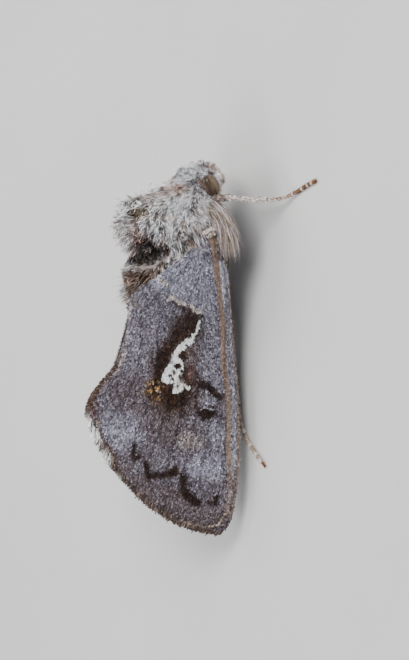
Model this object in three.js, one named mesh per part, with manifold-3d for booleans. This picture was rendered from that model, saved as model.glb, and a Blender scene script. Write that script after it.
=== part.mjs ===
// A resting plusiine moth, life size, as a set of closed solids in millimetres.
// +Z is up, the head points along -Y, the moth's right side is -X, and the feet stand on z = 0.
// Parts are made on the right side and mirrored for the left; only the forelegs differ in pose.

import * as THREE from 'three';
import { mergeVertices } from 'three/addons/utils/BufferGeometryUtils.js';
import Module from 'manifold-3d';

const wasm = await Module();
wasm.setup();

// ---- driving dimensions (mm) ----

const ORIGIN_SHIFT = 0.81; // moves the middle of the whole outline to the origin
const GAP = 0.3; // air kept between neighbouring parts

const HEAD = {
  ahead: 9.62, height: 3.95, halfWidth: 1.55, halfLength: 0.98, halfHeight: 1.4, turn: 8,
};
const EYE = { ahead: 9.72, out: 1.45, height: 3.78, radius: 0.7 };
const PALP = { thickness: 0.6 };
const ANTENNA = { thickness: 0.5, tip: 0.26 };

const THORAX = {
  front: 8.38, back: 2.4, height: 4.6, halfWidth: 2.3, belly: 2.15,
  backTop: 6.35, crestTop: 7.7, crestAhead: 7.2,
};
const ABDOMEN = { front: 2.05, back: -7.2, height: 3.5, tipHeight: 2.4, halfWidth: 1.45, rings: 7 };
const FAN = {
  locks: 4,
  width: 0.95,
  root: [[1.0, 7.85, 4.5], [1.3, 7.5, 5.2]],
  bend: [[3.5, 8.35, 4.5], [4.0, 7.9, 5.1]],
  tip: [[3.25, 8.0, 2.2], [3.45, 6.6, 1.7]],
};
const LOCK = { thickness: 0.5, sink: 0.55, tip: 0.16, steps: 3, unevenness: 0.16 };

const WING = { thickness: 0.5, veinHeight: 0.17, veinHalf: 0.014, bulge: 0.75, rows: 18 };
const WING_RIDGE_OUT = 0.27; // how far the inner margin stays from the middle plane
const WING_ROOT = { ahead: 6.7, out: 3.05, costaHeight: 3.5, innerHeight: 5.3 };
const APEX = { ahead: -10.85, out: 6.2, height: 1.3 };
const TORNUS = { ahead: -5.4, height: 8.28 };
const TERMEN_BULGE = 2.0;
const LEFT_WING_LEAD = 0.6; // the left wing sits a little ahead of the right one
const HINDWING = { thickness: 0.5, rows: 12, columns: 7, from: 0.1, to: 0.44, start: 0.26, end: 0.9 };

const LEG = { femur: 0.7, tibia: 0.62, tarsus: 0.5, claw: 0.22, flat: 0.05 };

// ---- colours and finishes ----

const finish = (hex, roughness) => new THREE.MeshStandardMaterial({
  color: new THREE.Color(hex),
  roughness,
  metalness: 0,
});

const FUR_GREY = () => finish('#8a7f7c', 0.95);
const FUR_PALE = () => finish('#b0a5a2', 0.95);
const WING_GREY = () => finish('#75707a', 0.8);
const HINDWING_BROWN = () => finish('#8f8271', 0.8);
const EYE_OLIVE = () => finish('#6e5d48', 0.2);
const LEG_BEIGE = () => finish('#c9b8ac', 0.85);
const ANTENNA_BROWN = () => finish('#8b6b4c', 0.7);

// ---- helpers ----

// A point on the right side from how far out, how far ahead and how high it is.
const at = (out, ahead, height) => new THREE.Vector3(-out, -ahead, height);

// A smooth curve through a few places.
const through = (...places) => new THREE.CatmullRomCurve3(
  places.map((place) => at(...place)),
  false,
  'centripetal',
);

// Straight-line blend of a value through evenly spaced stops.
function stops(values, t) {
  const place = THREE.MathUtils.clamp(t, 0, 1) * (values.length - 1);
  const low = Math.min(Math.floor(place), values.length - 2);
  return THREE.MathUtils.lerp(values[low], values[low + 1], place - low);
}

// Eased blend between 0 and 1.
const ease = (low, high, x) => THREE.MathUtils.smoothstep(x, low, high);

// A closed mesh from vertices and triangles.
function closedMesh(vertices, triangles) {
  const geometry = new THREE.BufferGeometry();
  const numbers = vertices.flatMap((v) => [v.x, v.y, v.z]);
  geometry.setAttribute('position', new THREE.Float32BufferAttribute(numbers, 3));
  geometry.setIndex(triangles.flat());
  return mergeVertices(geometry, 1e-4);
}

// Signed volume, to find out which way a closed mesh faces.
function volume(geometry) {
  const p = geometry.attributes.position;
  const corner = [0, 1, 2].map(() => new THREE.Vector3());
  let sum = 0;
  for (let i = 0; i < geometry.index.count; i += 3) {
    corner.forEach((v, k) => v.fromBufferAttribute(p, geometry.index.getX(i + k)));
    sum += corner[0].dot(corner[1].clone().cross(corner[2])) / 6;
  }
  return sum;
}

// Turns every triangle over.
function flipped(geometry) {
  const index = Array.from(geometry.index.array);
  for (let i = 0; i < index.length; i += 3) {
    [index[i], index[i + 1]] = [index[i + 1], index[i]];
  }
  geometry.setIndex(index);
  return geometry;
}

const facingOut = (geometry) => (volume(geometry) < 0 ? flipped(geometry) : geometry);

// A skin through rings of points, closed at both ends by a point in the middle of the end ring.
function loft(rings) {
  const sides = rings[0].length;
  const vertices = rings.flat();
  const triangles = [];
  for (let r = 0; r + 1 < rings.length; r += 1) {
    for (let s = 0; s < sides; s += 1) {
      const a = r * sides + s;
      const b = r * sides + ((s + 1) % sides);
      triangles.push([a, b, a + sides], [b, b + sides, a + sides]);
    }
  }
  [0, rings.length - 1].forEach((r) => {
    const middle = new THREE.Vector3();
    rings[r].forEach((v) => middle.addScaledVector(v, 1 / sides));
    vertices.push(middle);
    const centre = vertices.length - 1;
    for (let s = 0; s < sides; s += 1) {
      const a = r * sides + s;
      const b = r * sides + ((s + 1) % sides);
      triangles.push(r === 0 ? [b, a, centre] : [a, b, centre]);
    }
  });
  return facingOut(closedMesh(vertices, triangles));
}

// A round or oval limb along a curve. radius(t) gives its half thickness, floor flattens its underside.
function limb(curve, radius, steps, sides, floor = null) {
  const rings = [];
  for (let i = 0; i <= steps; i += 1) {
    const t = i / steps;
    const centre = curve.getPointAt(t);
    const along = curve.getTangentAt(t);
    const across = new THREE.Vector3(-along.y, along.x, 0).normalize();
    const up = new THREE.Vector3().crossVectors(along, across).normalize();
    const ring = [];
    for (let s = 0; s < sides; s += 1) {
      const angle = (2 * Math.PI * (s + 0.5)) / sides;
      const v = centre.clone();
      v.addScaledVector(across, radius(t) * Math.cos(angle));
      v.addScaledVector(up, radius(t) * Math.sin(angle));
      if (floor !== null) v.z = Math.max(v.z, floor);
      ring.push(v);
    }
    rings.push(ring);
  }
  return loft(rings);
}

// A point of an upright section: angle 0 is the right side and a quarter turn is the top.
function sectionPoint({ ahead, halfWidth, top, bottom, middle, shape }, angle) {
  const [c, q] = [Math.cos(angle), Math.sin(angle)];
  const height = q > 0 ? top - middle : middle - bottom;
  const narrow = q > 0 ? Math.pow(Math.max(0, 1 - Math.pow(q, shape)), 0.5) : Math.abs(c);
  return at(Math.sign(c) * narrow * halfWidth, ahead, middle + q * height);
}

// A body along Y: section(t) gives ahead, half width, top, bottom and widest height.
function trunk(section, steps, sides) {
  const rings = [];
  for (let i = 0; i <= steps; i += 1) {
    const t = 0.5 - 0.5 * Math.cos((Math.PI * (i + 0.35)) / (steps + 0.7));
    const angles = Array.from({ length: sides }, (_, k) => (2 * Math.PI * k) / sides);
    rings.push(angles.map((angle) => sectionPoint(section(t), angle)));
  }
  return loft(rings);
}

// The left-hand twin of a right-hand part.
function mirrored(geometry) {
  const twin = geometry.clone();
  twin.applyMatrix4(new THREE.Matrix4().makeScale(-1, 1, 1));
  return flipped(twin);
}

// A part moved towards the head.
const movedAhead = (geometry, distance) => geometry.translate(0, -distance, 0);

// A part of the head, turned with it about its upright axis.
const turnedHead = (geometry) => geometry
  .translate(0, HEAD.ahead, 0)
  .rotateZ(THREE.MathUtils.degToRad(HEAD.turn))
  .translate(0, -HEAD.ahead, 0);

// A closed geometry as a solid that can be joined and cut.
function solid(geometry) {
  return new wasm.Manifold(new wasm.Mesh({
    numProp: 3,
    vertProperties: new Float32Array(geometry.attributes.position.array),
    triVerts: new Uint32Array(geometry.index.array),
  }));
}

// The largest closed body of a solid, back as a geometry.
function largestBody(joined) {
  const bodies = joined.decompose();
  const mesh = bodies.reduce((a, b) => (b.volume() > a.volume() ? b : a)).getMesh();
  const geometry = new THREE.BufferGeometry();
  geometry.setAttribute('position', new THREE.Float32BufferAttribute(mesh.vertProperties, 3));
  geometry.setIndex(Array.from(mesh.triVerts));
  return geometry;
}

// Several overlapping closed geometries joined into one.
function fused(pieces) {
  return largestBody(pieces.map(solid).reduce((joined, piece) => joined.add(piece)));
}

// ---- locks of long hair: flat, tapered and bent, each with its root sunk in the body ----

// Random numbers between -1 and 1 that come out the same each time.
function seeded(seed) {
  let state = seed;
  return () => {
    state = (state * 1664525 + 1013904223) % 4294967296;
    return state / 2147483648 - 1;
  };
}

// One lock from its root over a bend to its tip. off points away from the body.
function lock(root, bend, tip, off, width) {
  const curve = new THREE.QuadraticBezierCurve3(root, bend, tip);
  const rings = [];
  for (let i = 0; i <= LOCK.steps; i += 1) {
    const t = i / LOCK.steps;
    const along = curve.getTangent(t);
    const across = new THREE.Vector3().crossVectors(along, off).normalize();
    const outward = new THREE.Vector3().crossVectors(across, along).normalize();
    const taper = stops([0.85, 1, 0.8, LOCK.tip], t);
    const [side, rise] = [0.5 * width * taper, 0.5 * LOCK.thickness * Math.max(taper, 2 * LOCK.tip)];
    const centre = curve.getPoint(t);
    rings.push([[across, side], [outward, rise], [across, -side], [outward, -rise]].map(
      ([direction, reach]) => centre.clone().addScaledVector(direction, reach),
    ));
  }
  return loft(rings);
}

// A lock on a body: where it grows, and how far its tip stands off, sweeps back, splays out and lifts.
function lockOn(section, t, angle, { rise, sweep, splay, lift, width }) {
  const step = 0.01;
  const foot = sectionPoint(section(t), angle);
  const around = sectionPoint(section(t), angle + step).sub(sectionPoint(section(t), angle - step));
  const along = sectionPoint(section(t + step), angle).sub(sectionPoint(section(t - step), angle));
  const off = new THREE.Vector3().crossVectors(around, along).normalize();
  const spine = at(0, foot.y * -1, section(t).middle);
  if (off.dot(foot.clone().sub(spine)) < 0) off.negate();
  const back = at(0, -1, 0);
  const sideways = at(Math.sign(Math.cos(angle)) || 1, 0, 0);
  const tip = foot.clone().addScaledVector(off, rise).addScaledVector(back, sweep);
  tip.addScaledVector(sideways, splay);
  tip.z += lift;
  const bend = foot.clone().addScaledVector(off, 0.8 * rise).addScaledVector(back, 0.2 * sweep);
  bend.z += 0.3 * lift;
  return lock(foot.clone().addScaledVector(off, -LOCK.sink), bend, tip, off, width);
}

// Rows of locks over a body, each row a set of angles in degrees off the top, the same on both sides.
function lockRows(section, rows, seed) {
  const draw = seeded(seed);
  return rows.flatMap((row) => row.angles.flatMap((degrees) => {
    const sides = degrees === 0 ? [1] : [1, -1];
    return sides.map((side) => {
      const uneven = (value) => value * (1 + LOCK.unevenness * draw());
      const angle = THREE.MathUtils.degToRad(90 - side * (degrees + 3 * draw()));
      return lockOn(section, row.t + 0.012 * draw(), angle, {
        rise: uneven(row.rise),
        sweep: uneven(row.sweep),
        splay: uneven(row.splay || 0),
        lift: uneven(row.lift || 0),
        width: uneven(row.width || 1),
      });
    });
  }));
}

// ---- the moth ----

const moth = new THREE.Group();

function add(name, geometry, material) {
  const mesh = new THREE.Mesh(geometry, material);
  mesh.name = name;
  moth.add(mesh);
  return mesh;
}

function addPair(name, geometry, material) {
  add(`${name}_right`, geometry, material());
  add(`${name}_left`, mirrored(geometry), material());
}

// ---- forewing surface: u runs from root to outer edge, v from the leading edge to the inner one ----

const leadingEdge = through(
  [WING_ROOT.out, WING_ROOT.ahead, WING_ROOT.costaHeight],
  [2.97, 4.85, 2.42],
  [2.95, 3.2, 1.85],
  [3.3, 1.1, 1.4],
  [4.4, -2.3, 0.95],
  [5.4, -4.3, 0.9],
  [6.25, -6.5, 0.92],
  [6.73, -8.7, 1.0],
  [6.73, -9.9, 1.1],
  [APEX.out, APEX.ahead, APEX.height],
);

const innerEdge = through(
  [WING_ROOT.out, WING_ROOT.ahead - 0.35, WING_ROOT.innerHeight],
  [2.45, 4.8, 6.35],
  [1.3, 3.2, 7.0],
  [WING_RIDGE_OUT, 1.9, 7.08],
  [WING_RIDGE_OUT, 0.1, 6.68],
  [WING_RIDGE_OUT, -2.0, 6.82],
  [WING_RIDGE_OUT, -3.4, 7.7],
  [WING_RIDGE_OUT, -4.5, 8.28],
  [WING_RIDGE_OUT, TORNUS.ahead, TORNUS.height],
);

// Share of the way along the inner edge that matches a share of the way along the leading edge.
const innerShare = (u) => Math.pow(u, 1.15);

function wingPoint(u, v) {
  const lead = leadingEdge.getPointAt(u);
  const inner = innerEdge.getPointAt(innerShare(u));
  const point = lead.clone().lerp(inner, v);
  const outward = new THREE.Vector3().subVectors(lead, inner).normalize();
  const normal = new THREE.Vector3(outward.z, 0, -outward.x).normalize();
  const arch = 4 * v * (1 - v);
  point.addScaledVector(normal, WING.bulge * arch * ease(0, 0.3, u) * (1 - 0.45 * u));
  point.y += TERMEN_BULGE * arch * Math.pow(u, 4.5) * (0.85 + 0.3 * v);
  return point;
}

function wingNormal(u, v) {
  const step = 0.004;
  const [u0, u1] = [Math.max(0, u - step), Math.min(1, u + step)];
  const [v0, v1] = [Math.max(0, v - step), Math.min(1, v + step)];
  const alongU = wingPoint(u1, v).sub(wingPoint(u0, v));
  const alongV = wingPoint(u, v1).sub(wingPoint(u, v0));
  const normal = alongU.cross(alongV).normalize();
  return normal.z < 0.8 * normal.x ? normal.negate() : normal;
}

// Veins as lines of constant v, each with the stretch of u over which it stands out.
const VEINS = [
  { v: 0.035, from: 0.0, to: 0.97 },
  { v: 0.13, from: 0.0, to: 0.9 },
  { v: 0.27, from: 0.5, to: 0.98 },
  { v: 0.38, from: 0.56, to: 0.98 },
  { v: 0.49, from: 0.56, to: 0.98 },
  { v: 0.6, from: 0.02, to: 0.98 },
  { v: 0.73, from: 0.42, to: 0.98 },
  { v: 0.88, from: 0.03, to: 0.98 },
];

function wingColumns() {
  const columns = [{ v: 0, vein: null }];
  VEINS.forEach((vein, i) => {
    const next = i + 1 < VEINS.length ? VEINS[i + 1].v : 1;
    columns.push({ v: vein.v - WING.veinHalf, vein: null });
    columns.push({ v: vein.v, vein });
    columns.push({ v: vein.v + WING.veinHalf, vein: null });
    columns.push({ v: (vein.v + next) / 2, vein: null });
  });
  columns.push({ v: 1, vein: null });
  return columns;
}

function veinRise(vein, u) {
  if (!vein) return 0;
  const [start, end] = [ease(vein.from - 0.06, vein.from + 0.04, u), ease(vein.to - 0.12, vein.to, u)];
  return WING.veinHeight * start * (1 - end);
}

// A plate between an outer face and an inner one that lies under it, with like triangles on both.
function plate(outer, inner) {
  const rows = outer.length;
  const columns = outer[0].length;
  const vertices = [...outer.flat(), ...inner.flat()];
  const triangles = [];
  const under = rows * columns;
  const cell = (r, c) => r * columns + c;
  for (let r = 0; r + 1 < rows; r += 1) {
    for (let c = 0; c + 1 < columns; c += 1) {
      const corners = [cell(r, c), cell(r, c + 1), cell(r + 1, c + 1), cell(r + 1, c)];
      const [a, b, d, e] = corners;
      triangles.push([a, b, d], [a, d, e]);
      triangles.push([a + under, d + under, b + under], [a + under, e + under, d + under]);
    }
  }
  const rim = [];
  for (let c = 0; c < columns; c += 1) rim.push(cell(0, c));
  for (let r = 1; r < rows; r += 1) rim.push(cell(r, columns - 1));
  for (let c = columns - 2; c >= 0; c -= 1) rim.push(cell(rows - 1, c));
  for (let r = rows - 2; r > 0; r -= 1) rim.push(cell(r, 0));
  rim.forEach((a, i) => {
    const b = rim[(i + 1) % rim.length];
    triangles.push([a, a + under, b], [b, a + under, b + under]);
  });
  return facingOut(closedMesh(vertices, triangles));
}

function forewing() {
  const columns = wingColumns();
  const outer = [];
  const inner = [];
  for (let r = 0; r <= WING.rows; r += 1) {
    const u = r / WING.rows;
    outer.push(columns.map(({ v, vein }) => {
      const normal = wingNormal(u, v);
      return wingPoint(u, v).addScaledVector(normal, veinRise(vein, u));
    }));
    inner.push(columns.map(({ v }) => {
      const under = wingPoint(u, v).addScaledVector(wingNormal(u, v), -WING.thickness);
      under.x = Math.min(under.x, -GAP / 2);
      return under;
    }));
  }
  return plate(outer, inner);
}

// The forewing with the air that its neighbours keep from it, to cut them with.
function forewingClearance() {
  const [rows, columns] = [26, 16];
  const outer = [];
  const inner = [];
  for (let r = 0; r <= rows; r += 1) {
    const u = r / rows;
    const rim = (1.4 * GAP) / wingPoint(u, 0).distanceTo(wingPoint(u, 1));
    const shares = Array.from({ length: columns + 1 }, (_, c) => (1 + 2 * rim) * (c / columns) - rim);
    outer.push(shares.map((v) => wingPoint(u, v).addScaledVector(wingNormal(u, v), 1.6 * GAP)));
    inner.push(shares.map((v) => (
      wingPoint(u, v).addScaledVector(wingNormal(u, v), -WING.thickness - 1.3 * GAP)
    )));
  }
  [outer, inner].forEach((face) => {
    const roots = face[0].map((point) => point.clone().add(at(0, 1.2 * GAP, 0)));
    face.unshift(roots);
  });
  return plate(outer, inner);
}

// ---- hindwing: folded under the lower half of the forewing ----

function hindwing() {
  const depth = WING.thickness + GAP + 0.05;
  const outer = [];
  const inner = [];
  for (let r = 0; r <= HINDWING.rows; r += 1) {
    const u = THREE.MathUtils.lerp(HINDWING.start, HINDWING.end, r / HINDWING.rows);
    const spread = Math.sin(Math.PI * Math.min(0.5, 0.18 + 0.5 * (r / HINDWING.rows)));
    const rowOuter = [];
    const rowInner = [];
    for (let c = 0; c <= HINDWING.columns; c += 1) {
      const v = HINDWING.from + (HINDWING.to - HINDWING.from) * spread * (c / HINDWING.columns);
      const normal = wingNormal(u, v);
      const fold = 0.05 * (1 - Math.cos((2 * Math.PI * c) / 2));
      rowOuter.push(wingPoint(u, v).addScaledVector(normal, -depth - fold));
      rowInner.push(wingPoint(u, v).addScaledVector(normal, -depth - fold - HINDWING.thickness));
    }
    outer.push(rowOuter);
    inner.push(rowInner);
  }
  return plate(outer, inner);
}

// ---- body ----

function thoraxSection(t) {
  const ahead = THREE.MathUtils.lerp(THORAX.front, THORAX.back, t);
  const round = Math.sqrt(Math.max(0, 1 - Math.pow(2 * t - 1, 2)));
  const fullness = Math.pow(round, 0.7);
  const crest = Math.exp(-Math.pow((ahead - THORAX.crestAhead) / 1.7, 2));
  const top = THREE.MathUtils.lerp(THORAX.backTop, THORAX.crestTop, crest);
  return {
    ahead,
    halfWidth: THORAX.halfWidth * fullness * (1 - 0.2 * ease(0.5, 1, t)),
    top: THORAX.height + (top - THORAX.height) * fullness,
    bottom: THORAX.height - (THORAX.height - THORAX.belly) * fullness,
    middle: THORAX.height,
    shape: 1.6,
  };
}

// Collar, crest, the curtain that hangs over behind it, the shoulders and the hind tuft.
const THORAX_LOCKS = [
  { t: 0.06, angles: [0, 22, 46, 70], rise: 0.95, sweep: 0.5, width: 1.2 },
  { t: 0.15, angles: [10, 33], rise: 1.35, sweep: 0.7, width: 1.2 },
  { t: 0.25, angles: [0, 21, 44], rise: 1.4, sweep: 1.1, width: 1.15 },
  { t: 0.35, angles: [10, 32, 52], rise: 1.3, sweep: 1.6, width: 1.1 },
  { t: 0.45, angles: [0, 20, 40], rise: 1.2, sweep: 1.6, width: 1 },
  { t: 0.55, angles: [9, 28], rise: 1.2, sweep: 1.3, width: 0.95 },
  { t: 0.2, angles: [62, 78], rise: 0.95, sweep: 1.3, splay: 0.2, width: 1.1 },
  { t: 0.33, angles: [70], rise: 0.9, sweep: 1.5, splay: 0.3, width: 1.1 },
  { t: 0.24, angles: [128, 142], rise: 0.5, sweep: 1.2, width: 1 },
  { t: 0.76, angles: [5], rise: 0.3, sweep: 0.35, lift: 1.75, width: 0.75 },
  { t: 0.82, angles: [0], rise: 0.3, sweep: 0.3, lift: 1.8, width: 0.75 },
];

// The fan of long hair that falls from the shoulder past the feeler and the wing root to the breast.
function shoulderFan() {
  const off = at(1, 0, 0.2).normalize();
  return Array.from({ length: FAN.locks }, (_, k) => {
    const s = k / (FAN.locks - 1);
    const [root, bend, tip] = [FAN.root, FAN.bend, FAN.tip].map(
      ([front, rear]) => at(...front).lerp(at(...rear), s),
    );
    return lock(root, bend, tip, off, FAN.width);
  });
}

function thorax() {
  const fan = shoulderFan();
  const locks = [...lockRows(thoraxSection, THORAX_LOCKS, 7), ...fan, ...fan.map(mirrored)];
  return fused([trunk(thoraxSection, 14, 20), ...locks]);
}

function headSection(t) {
  const ahead = HEAD.ahead + HEAD.halfLength * (1 - 2 * t);
  const fullness = Math.pow(Math.max(0, 1 - Math.pow(2 * t - 1, 2)), 0.4);
  return {
    ahead,
    halfWidth: HEAD.halfWidth * fullness * (1 - 0.24 * ease(0.75, 0.25, 1 - t)),
    top: HEAD.height + HEAD.halfHeight * fullness,
    bottom: HEAD.height - HEAD.halfHeight * fullness,
    middle: HEAD.height,
    shape: 2,
  };
}

// The brow tuft between the feelers and the tufts on the crown.
const HEAD_LOCKS = [
  { t: 0.2, angles: [0, 26], rise: 0.42, sweep: -0.3, width: 0.75 },
  { t: 0.5, angles: [0, 22], rise: 0.4, sweep: -0.15, width: 0.8 },
];

function head() {
  return fused([trunk(headSection, 12, 18), ...lockRows(headSection, HEAD_LOCKS, 3)]);
}

function abdomenSection(t) {
  const ahead = THREE.MathUtils.lerp(ABDOMEN.front, ABDOMEN.back, t);
  const along = THREE.MathUtils.clamp(0.12 + 0.88 * t, 0, 1);
  const taper = Math.pow(Math.sin(Math.PI * Math.pow(along, 0.75)), 0.6);
  const ring = 1 - 0.035 * (0.5 - 0.5 * Math.cos(2 * Math.PI * ABDOMEN.rings * t));
  const middle = THREE.MathUtils.lerp(ABDOMEN.height, ABDOMEN.tipHeight, t);
  const radius = ABDOMEN.halfWidth * taper * ring;
  return {
    ahead,
    halfWidth: radius,
    top: middle + radius,
    bottom: middle - radius * 0.95,
    middle,
    shape: 2,
  };
}

// The tufts on the back of the first rings, the hair along the sides and the brush at the tip.
const ABDOMEN_LOCKS = [
  { t: 0.14, angles: [0, 16], rise: 1.1, sweep: 0.7, width: 0.7 },
  { t: 0.3, angles: [0], rise: 0.9, sweep: 0.8, width: 0.7 },
  { t: 0.45, angles: [84], rise: 0.35, sweep: 1.1, width: 0.8 },
  { t: 0.62, angles: [80], rise: 0.35, sweep: 1.1, width: 0.8 },
  { t: 0.9, angles: [15, 62, 110, 160], rise: 0.2, sweep: 1.35, width: 0.8 },
];

function abdomen() {
  return fused([trunk(abdomenSection, 24, 16), ...lockRows(abdomenSection, ABDOMEN_LOCKS, 11)]);
}

function bareSphere(radius) {
  const ball = new THREE.SphereGeometry(radius, 12, 8);
  ball.deleteAttribute('normal');
  ball.deleteAttribute('uv');
  return ball;
}

function sphereAt(middle, radius) {
  const ball = bareSphere(radius).translate(middle.x, middle.y, middle.z);
  return facingOut(mergeVertices(ball, 1e-4));
}

function eyeball(radius) {
  const ball = bareSphere(radius);
  ball.scale(0.72, 0.95, 1.1);
  ball.rotateZ(0.2);
  const middle = at(EYE.out, EYE.ahead, EYE.height);
  ball.translate(middle.x, middle.y, middle.z);
  return facingOut(mergeVertices(ball, 1e-4));
}

function palp() {
  const curve = through([0.42, 9.5, 1.95], [0.45, 10.15, 2.05], [0.42, 10.7, 2.75]);
  return limb(curve, (t) => 0.5 * PALP.thickness * stops([0.8, 1, 0.9, 0.4], t), 8, 8);
}

const feelerPath = through(
  [1.18, 9.9, 5.16],
  [1.6, 9.7, 5.25],
  [2.15, 9.25, 4.85],
  [2.42, 8.7, 4.15],
  [2.4, 8.0, 3.3],
  [2.32, 7.1, 2.5],
  [2.25, 5.8, 2.02],
  [2.15, 4.6, 1.85],
  [2.1, 3.5, 1.75],
);

// A feeler, or with air around it the room that its neighbours leave it.
function antenna(air = 0) {
  const radius = (t) => air + 0.5 * THREE.MathUtils.lerp(ANTENNA.thickness, ANTENNA.tip, Math.pow(t, 4));
  return limb(feelerPath, radius, 26, 6);
}

// ---- legs ----

// A leg along a curve, or with air around it the room that its neighbours leave it.
function leg(curve, [knee, ankle], air = 0) {
  const radius = (t) => {
    const femur = LEG.femur * 0.5 * (0.8 + 0.2 * Math.sin((Math.PI * t) / knee));
    const tibia = THREE.MathUtils.lerp(0.5 * LEG.tibia, 0.54 * LEG.tarsus, (t - knee) / (ankle - knee));
    const foot = t > 0.97 ? 0.5 * LEG.claw : 0.5 * LEG.tarsus;
    if (t < knee) return air + femur;
    return air + (t < ankle ? tibia : foot);
  };
  return limb(curve, radius, 20, 8, 0);
}

function forelegReaching(air = 0) {
  const ankleHeight = 0.5 * LEG.tarsus - LEG.flat;
  return leg(through(
    [0.8, 8.2, 1.8],
    [1.75, 9.0, 2.6],
    [2.75, 9.6, 2.95],
    [3.6, 9.8, 1.85],
    [4.4, 10.2, 0.65],
    [5.2, 10.95, ankleHeight + 0.03],
    [6.16, 11.8, ankleHeight],
    [7.01, 12.5, ankleHeight],
  ), [0.24, 0.56], air);
}

function forelegSetBack(air = 0) {
  const ankleHeight = 0.5 * LEG.tarsus - LEG.flat;
  return leg(through(
    [0.8, 8.2, 1.8],
    [1.7, 8.75, 2.5],
    [2.6, 8.75, 2.6],
    [3.4, 8.3, 1.5],
    [4.1, 7.7, 0.5],
    [4.9, 7.0, ankleHeight],
    [5.7, 6.2, ankleHeight],
    [6.4, 5.4, ankleHeight],
  ), [0.24, 0.56], air);
}

function midleg() {
  const ankleHeight = 0.5 * LEG.tarsus - LEG.flat;
  return leg(through(
    [0.62, 6.2, 1.6],
    [0.55, 5.2, 1.3],
    [0.5, 3.8, 0.95],
    [0.43, 2.4, 0.58],
    [0.42, 1.0, 0.3],
    [0.45, -0.4, ankleHeight],
    [0.6, -1.8, ankleHeight],
  ), [0.3, 0.55]);
}

function hindleg() {
  const ankleHeight = 0.5 * LEG.tarsus - LEG.flat;
  return leg(through(
    [1.25, 4.3, 1.6],
    [1.35, 3.0, 1.2],
    [1.6, 1.4, 0.8],
    [2.1, -0.6, 0.45],
    [3.1, -2.8, ankleHeight],
    [4.4, -4.6, ankleHeight],
    [6.16, -5.35, ankleHeight],
    [7.8, -5.7, ankleHeight],
  ), [0.3, 0.6]);
}

// The head with room for its eyes, and a pit round the foot of each feeler.
function headWithSockets() {
  const socket = solid(turnedHead(eyeball(EYE.radius + 1.25 * GAP)));
  const leftSocket = solid(turnedHead(mirrored(eyeball(EYE.radius + 1.25 * GAP))));
  const pit = sphereAt(feelerPath.getPoint(0), 0.5 * ANTENNA.thickness + GAP);
  const feelerRoom = antenna(GAP + 0.02);
  const cutters = [socket, leftSocket, ...[pit, mirrored(pit), feelerRoom, mirrored(feelerRoom)].map(solid)];
  return largestBody(cutters.reduce((rest, cutter) => rest.subtract(cutter), solid(turnedHead(head()))));
}

add('head', headWithSockets(), FUR_PALE());
add('eye_right', turnedHead(eyeball(EYE.radius)), EYE_OLIVE());
add('eye_left', turnedHead(mirrored(eyeball(EYE.radius))), EYE_OLIVE());
add('palp_right', turnedHead(palp()), FUR_PALE());
add('palp_left', turnedHead(mirrored(palp())), FUR_PALE());
addPair('antenna', antenna(), ANTENNA_BROWN);
const rightClearance = solid(forewingClearance());
const leftClearance = solid(movedAhead(mirrored(forewingClearance()), LEFT_WING_LEAD));
const feelerClearance = antenna(GAP + 0.03);
const legClearance = [forelegReaching(GAP + 0.03), mirrored(forelegSetBack(GAP + 0.03))];
const smallClearances = [feelerClearance, mirrored(feelerClearance), ...legClearance].map(solid);
const clearances = [rightClearance, leftClearance, ...smallClearances];
const clearOfLimbs = (geometry) => largestBody(
  clearances.reduce((rest, cutter) => rest.subtract(cutter), solid(geometry)),
);

add('thorax', clearOfLimbs(thorax()), FUR_GREY());
add('abdomen', clearOfLimbs(abdomen()), FUR_GREY());
add('forewing_right', forewing(), WING_GREY());
add('forewing_left', movedAhead(mirrored(forewing()), LEFT_WING_LEAD), WING_GREY());
add('hindwing_right', hindwing(), HINDWING_BROWN());
add('hindwing_left', movedAhead(mirrored(hindwing()), LEFT_WING_LEAD), HINDWING_BROWN());
add('foreleg_right', forelegReaching(), LEG_BEIGE());
add('foreleg_left', mirrored(forelegSetBack()), LEG_BEIGE());
addPair('midleg', midleg(), LEG_BEIGE);
addPair('hindleg', hindleg(), LEG_BEIGE);

moth.position.y = ORIGIN_SHIFT;

export default moth;
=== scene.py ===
# %% [markdown]
# # A resting moth, life size
# A small silvery plusiine moth sits with its wings folded like a roof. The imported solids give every
# place and size. This file dresses them: one skin under the body's coat, wings laid with scales,
# hair in tufts, ringed feet and glossy eyes. Lengths are written in millimetres and turned into
# Blender's metres where a mesh is made.

# %% Load the frame
import math

import bpy
import numpy as np
from mathutils import Matrix, Vector, kdtree


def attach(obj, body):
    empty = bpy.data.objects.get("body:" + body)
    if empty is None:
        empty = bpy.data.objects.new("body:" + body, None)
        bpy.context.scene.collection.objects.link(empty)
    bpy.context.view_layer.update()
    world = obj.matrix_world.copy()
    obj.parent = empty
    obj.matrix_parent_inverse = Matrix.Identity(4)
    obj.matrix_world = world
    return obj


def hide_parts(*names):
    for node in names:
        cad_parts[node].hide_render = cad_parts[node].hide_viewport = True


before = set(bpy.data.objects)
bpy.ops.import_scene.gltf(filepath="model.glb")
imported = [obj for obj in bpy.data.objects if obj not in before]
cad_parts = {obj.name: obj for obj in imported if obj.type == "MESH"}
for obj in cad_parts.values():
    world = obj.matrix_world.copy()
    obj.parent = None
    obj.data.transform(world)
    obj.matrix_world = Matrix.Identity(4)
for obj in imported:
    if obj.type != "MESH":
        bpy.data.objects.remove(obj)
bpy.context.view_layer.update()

print("solids loaded:", len(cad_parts))

# %% [markdown]
# ## Places on the animal
# On the real moth it is natural to say how far out from the middle, how far ahead and how high a
# thing is. `place` turns such words into the frame: the head points along -Y and the right side
# is -X. Whole arrays go through at once, because tens of thousands of hairs are placed this way.

# %% Places
MM = 0.001
ORIGIN_SHIFT = 0.81


def place(out, ahead, height):
    out, ahead, height = np.broadcast_arrays(out, ahead, height)
    return np.stack([-out, ORIGIN_SHIFT - ahead, height], axis=-1).astype(float)


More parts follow.
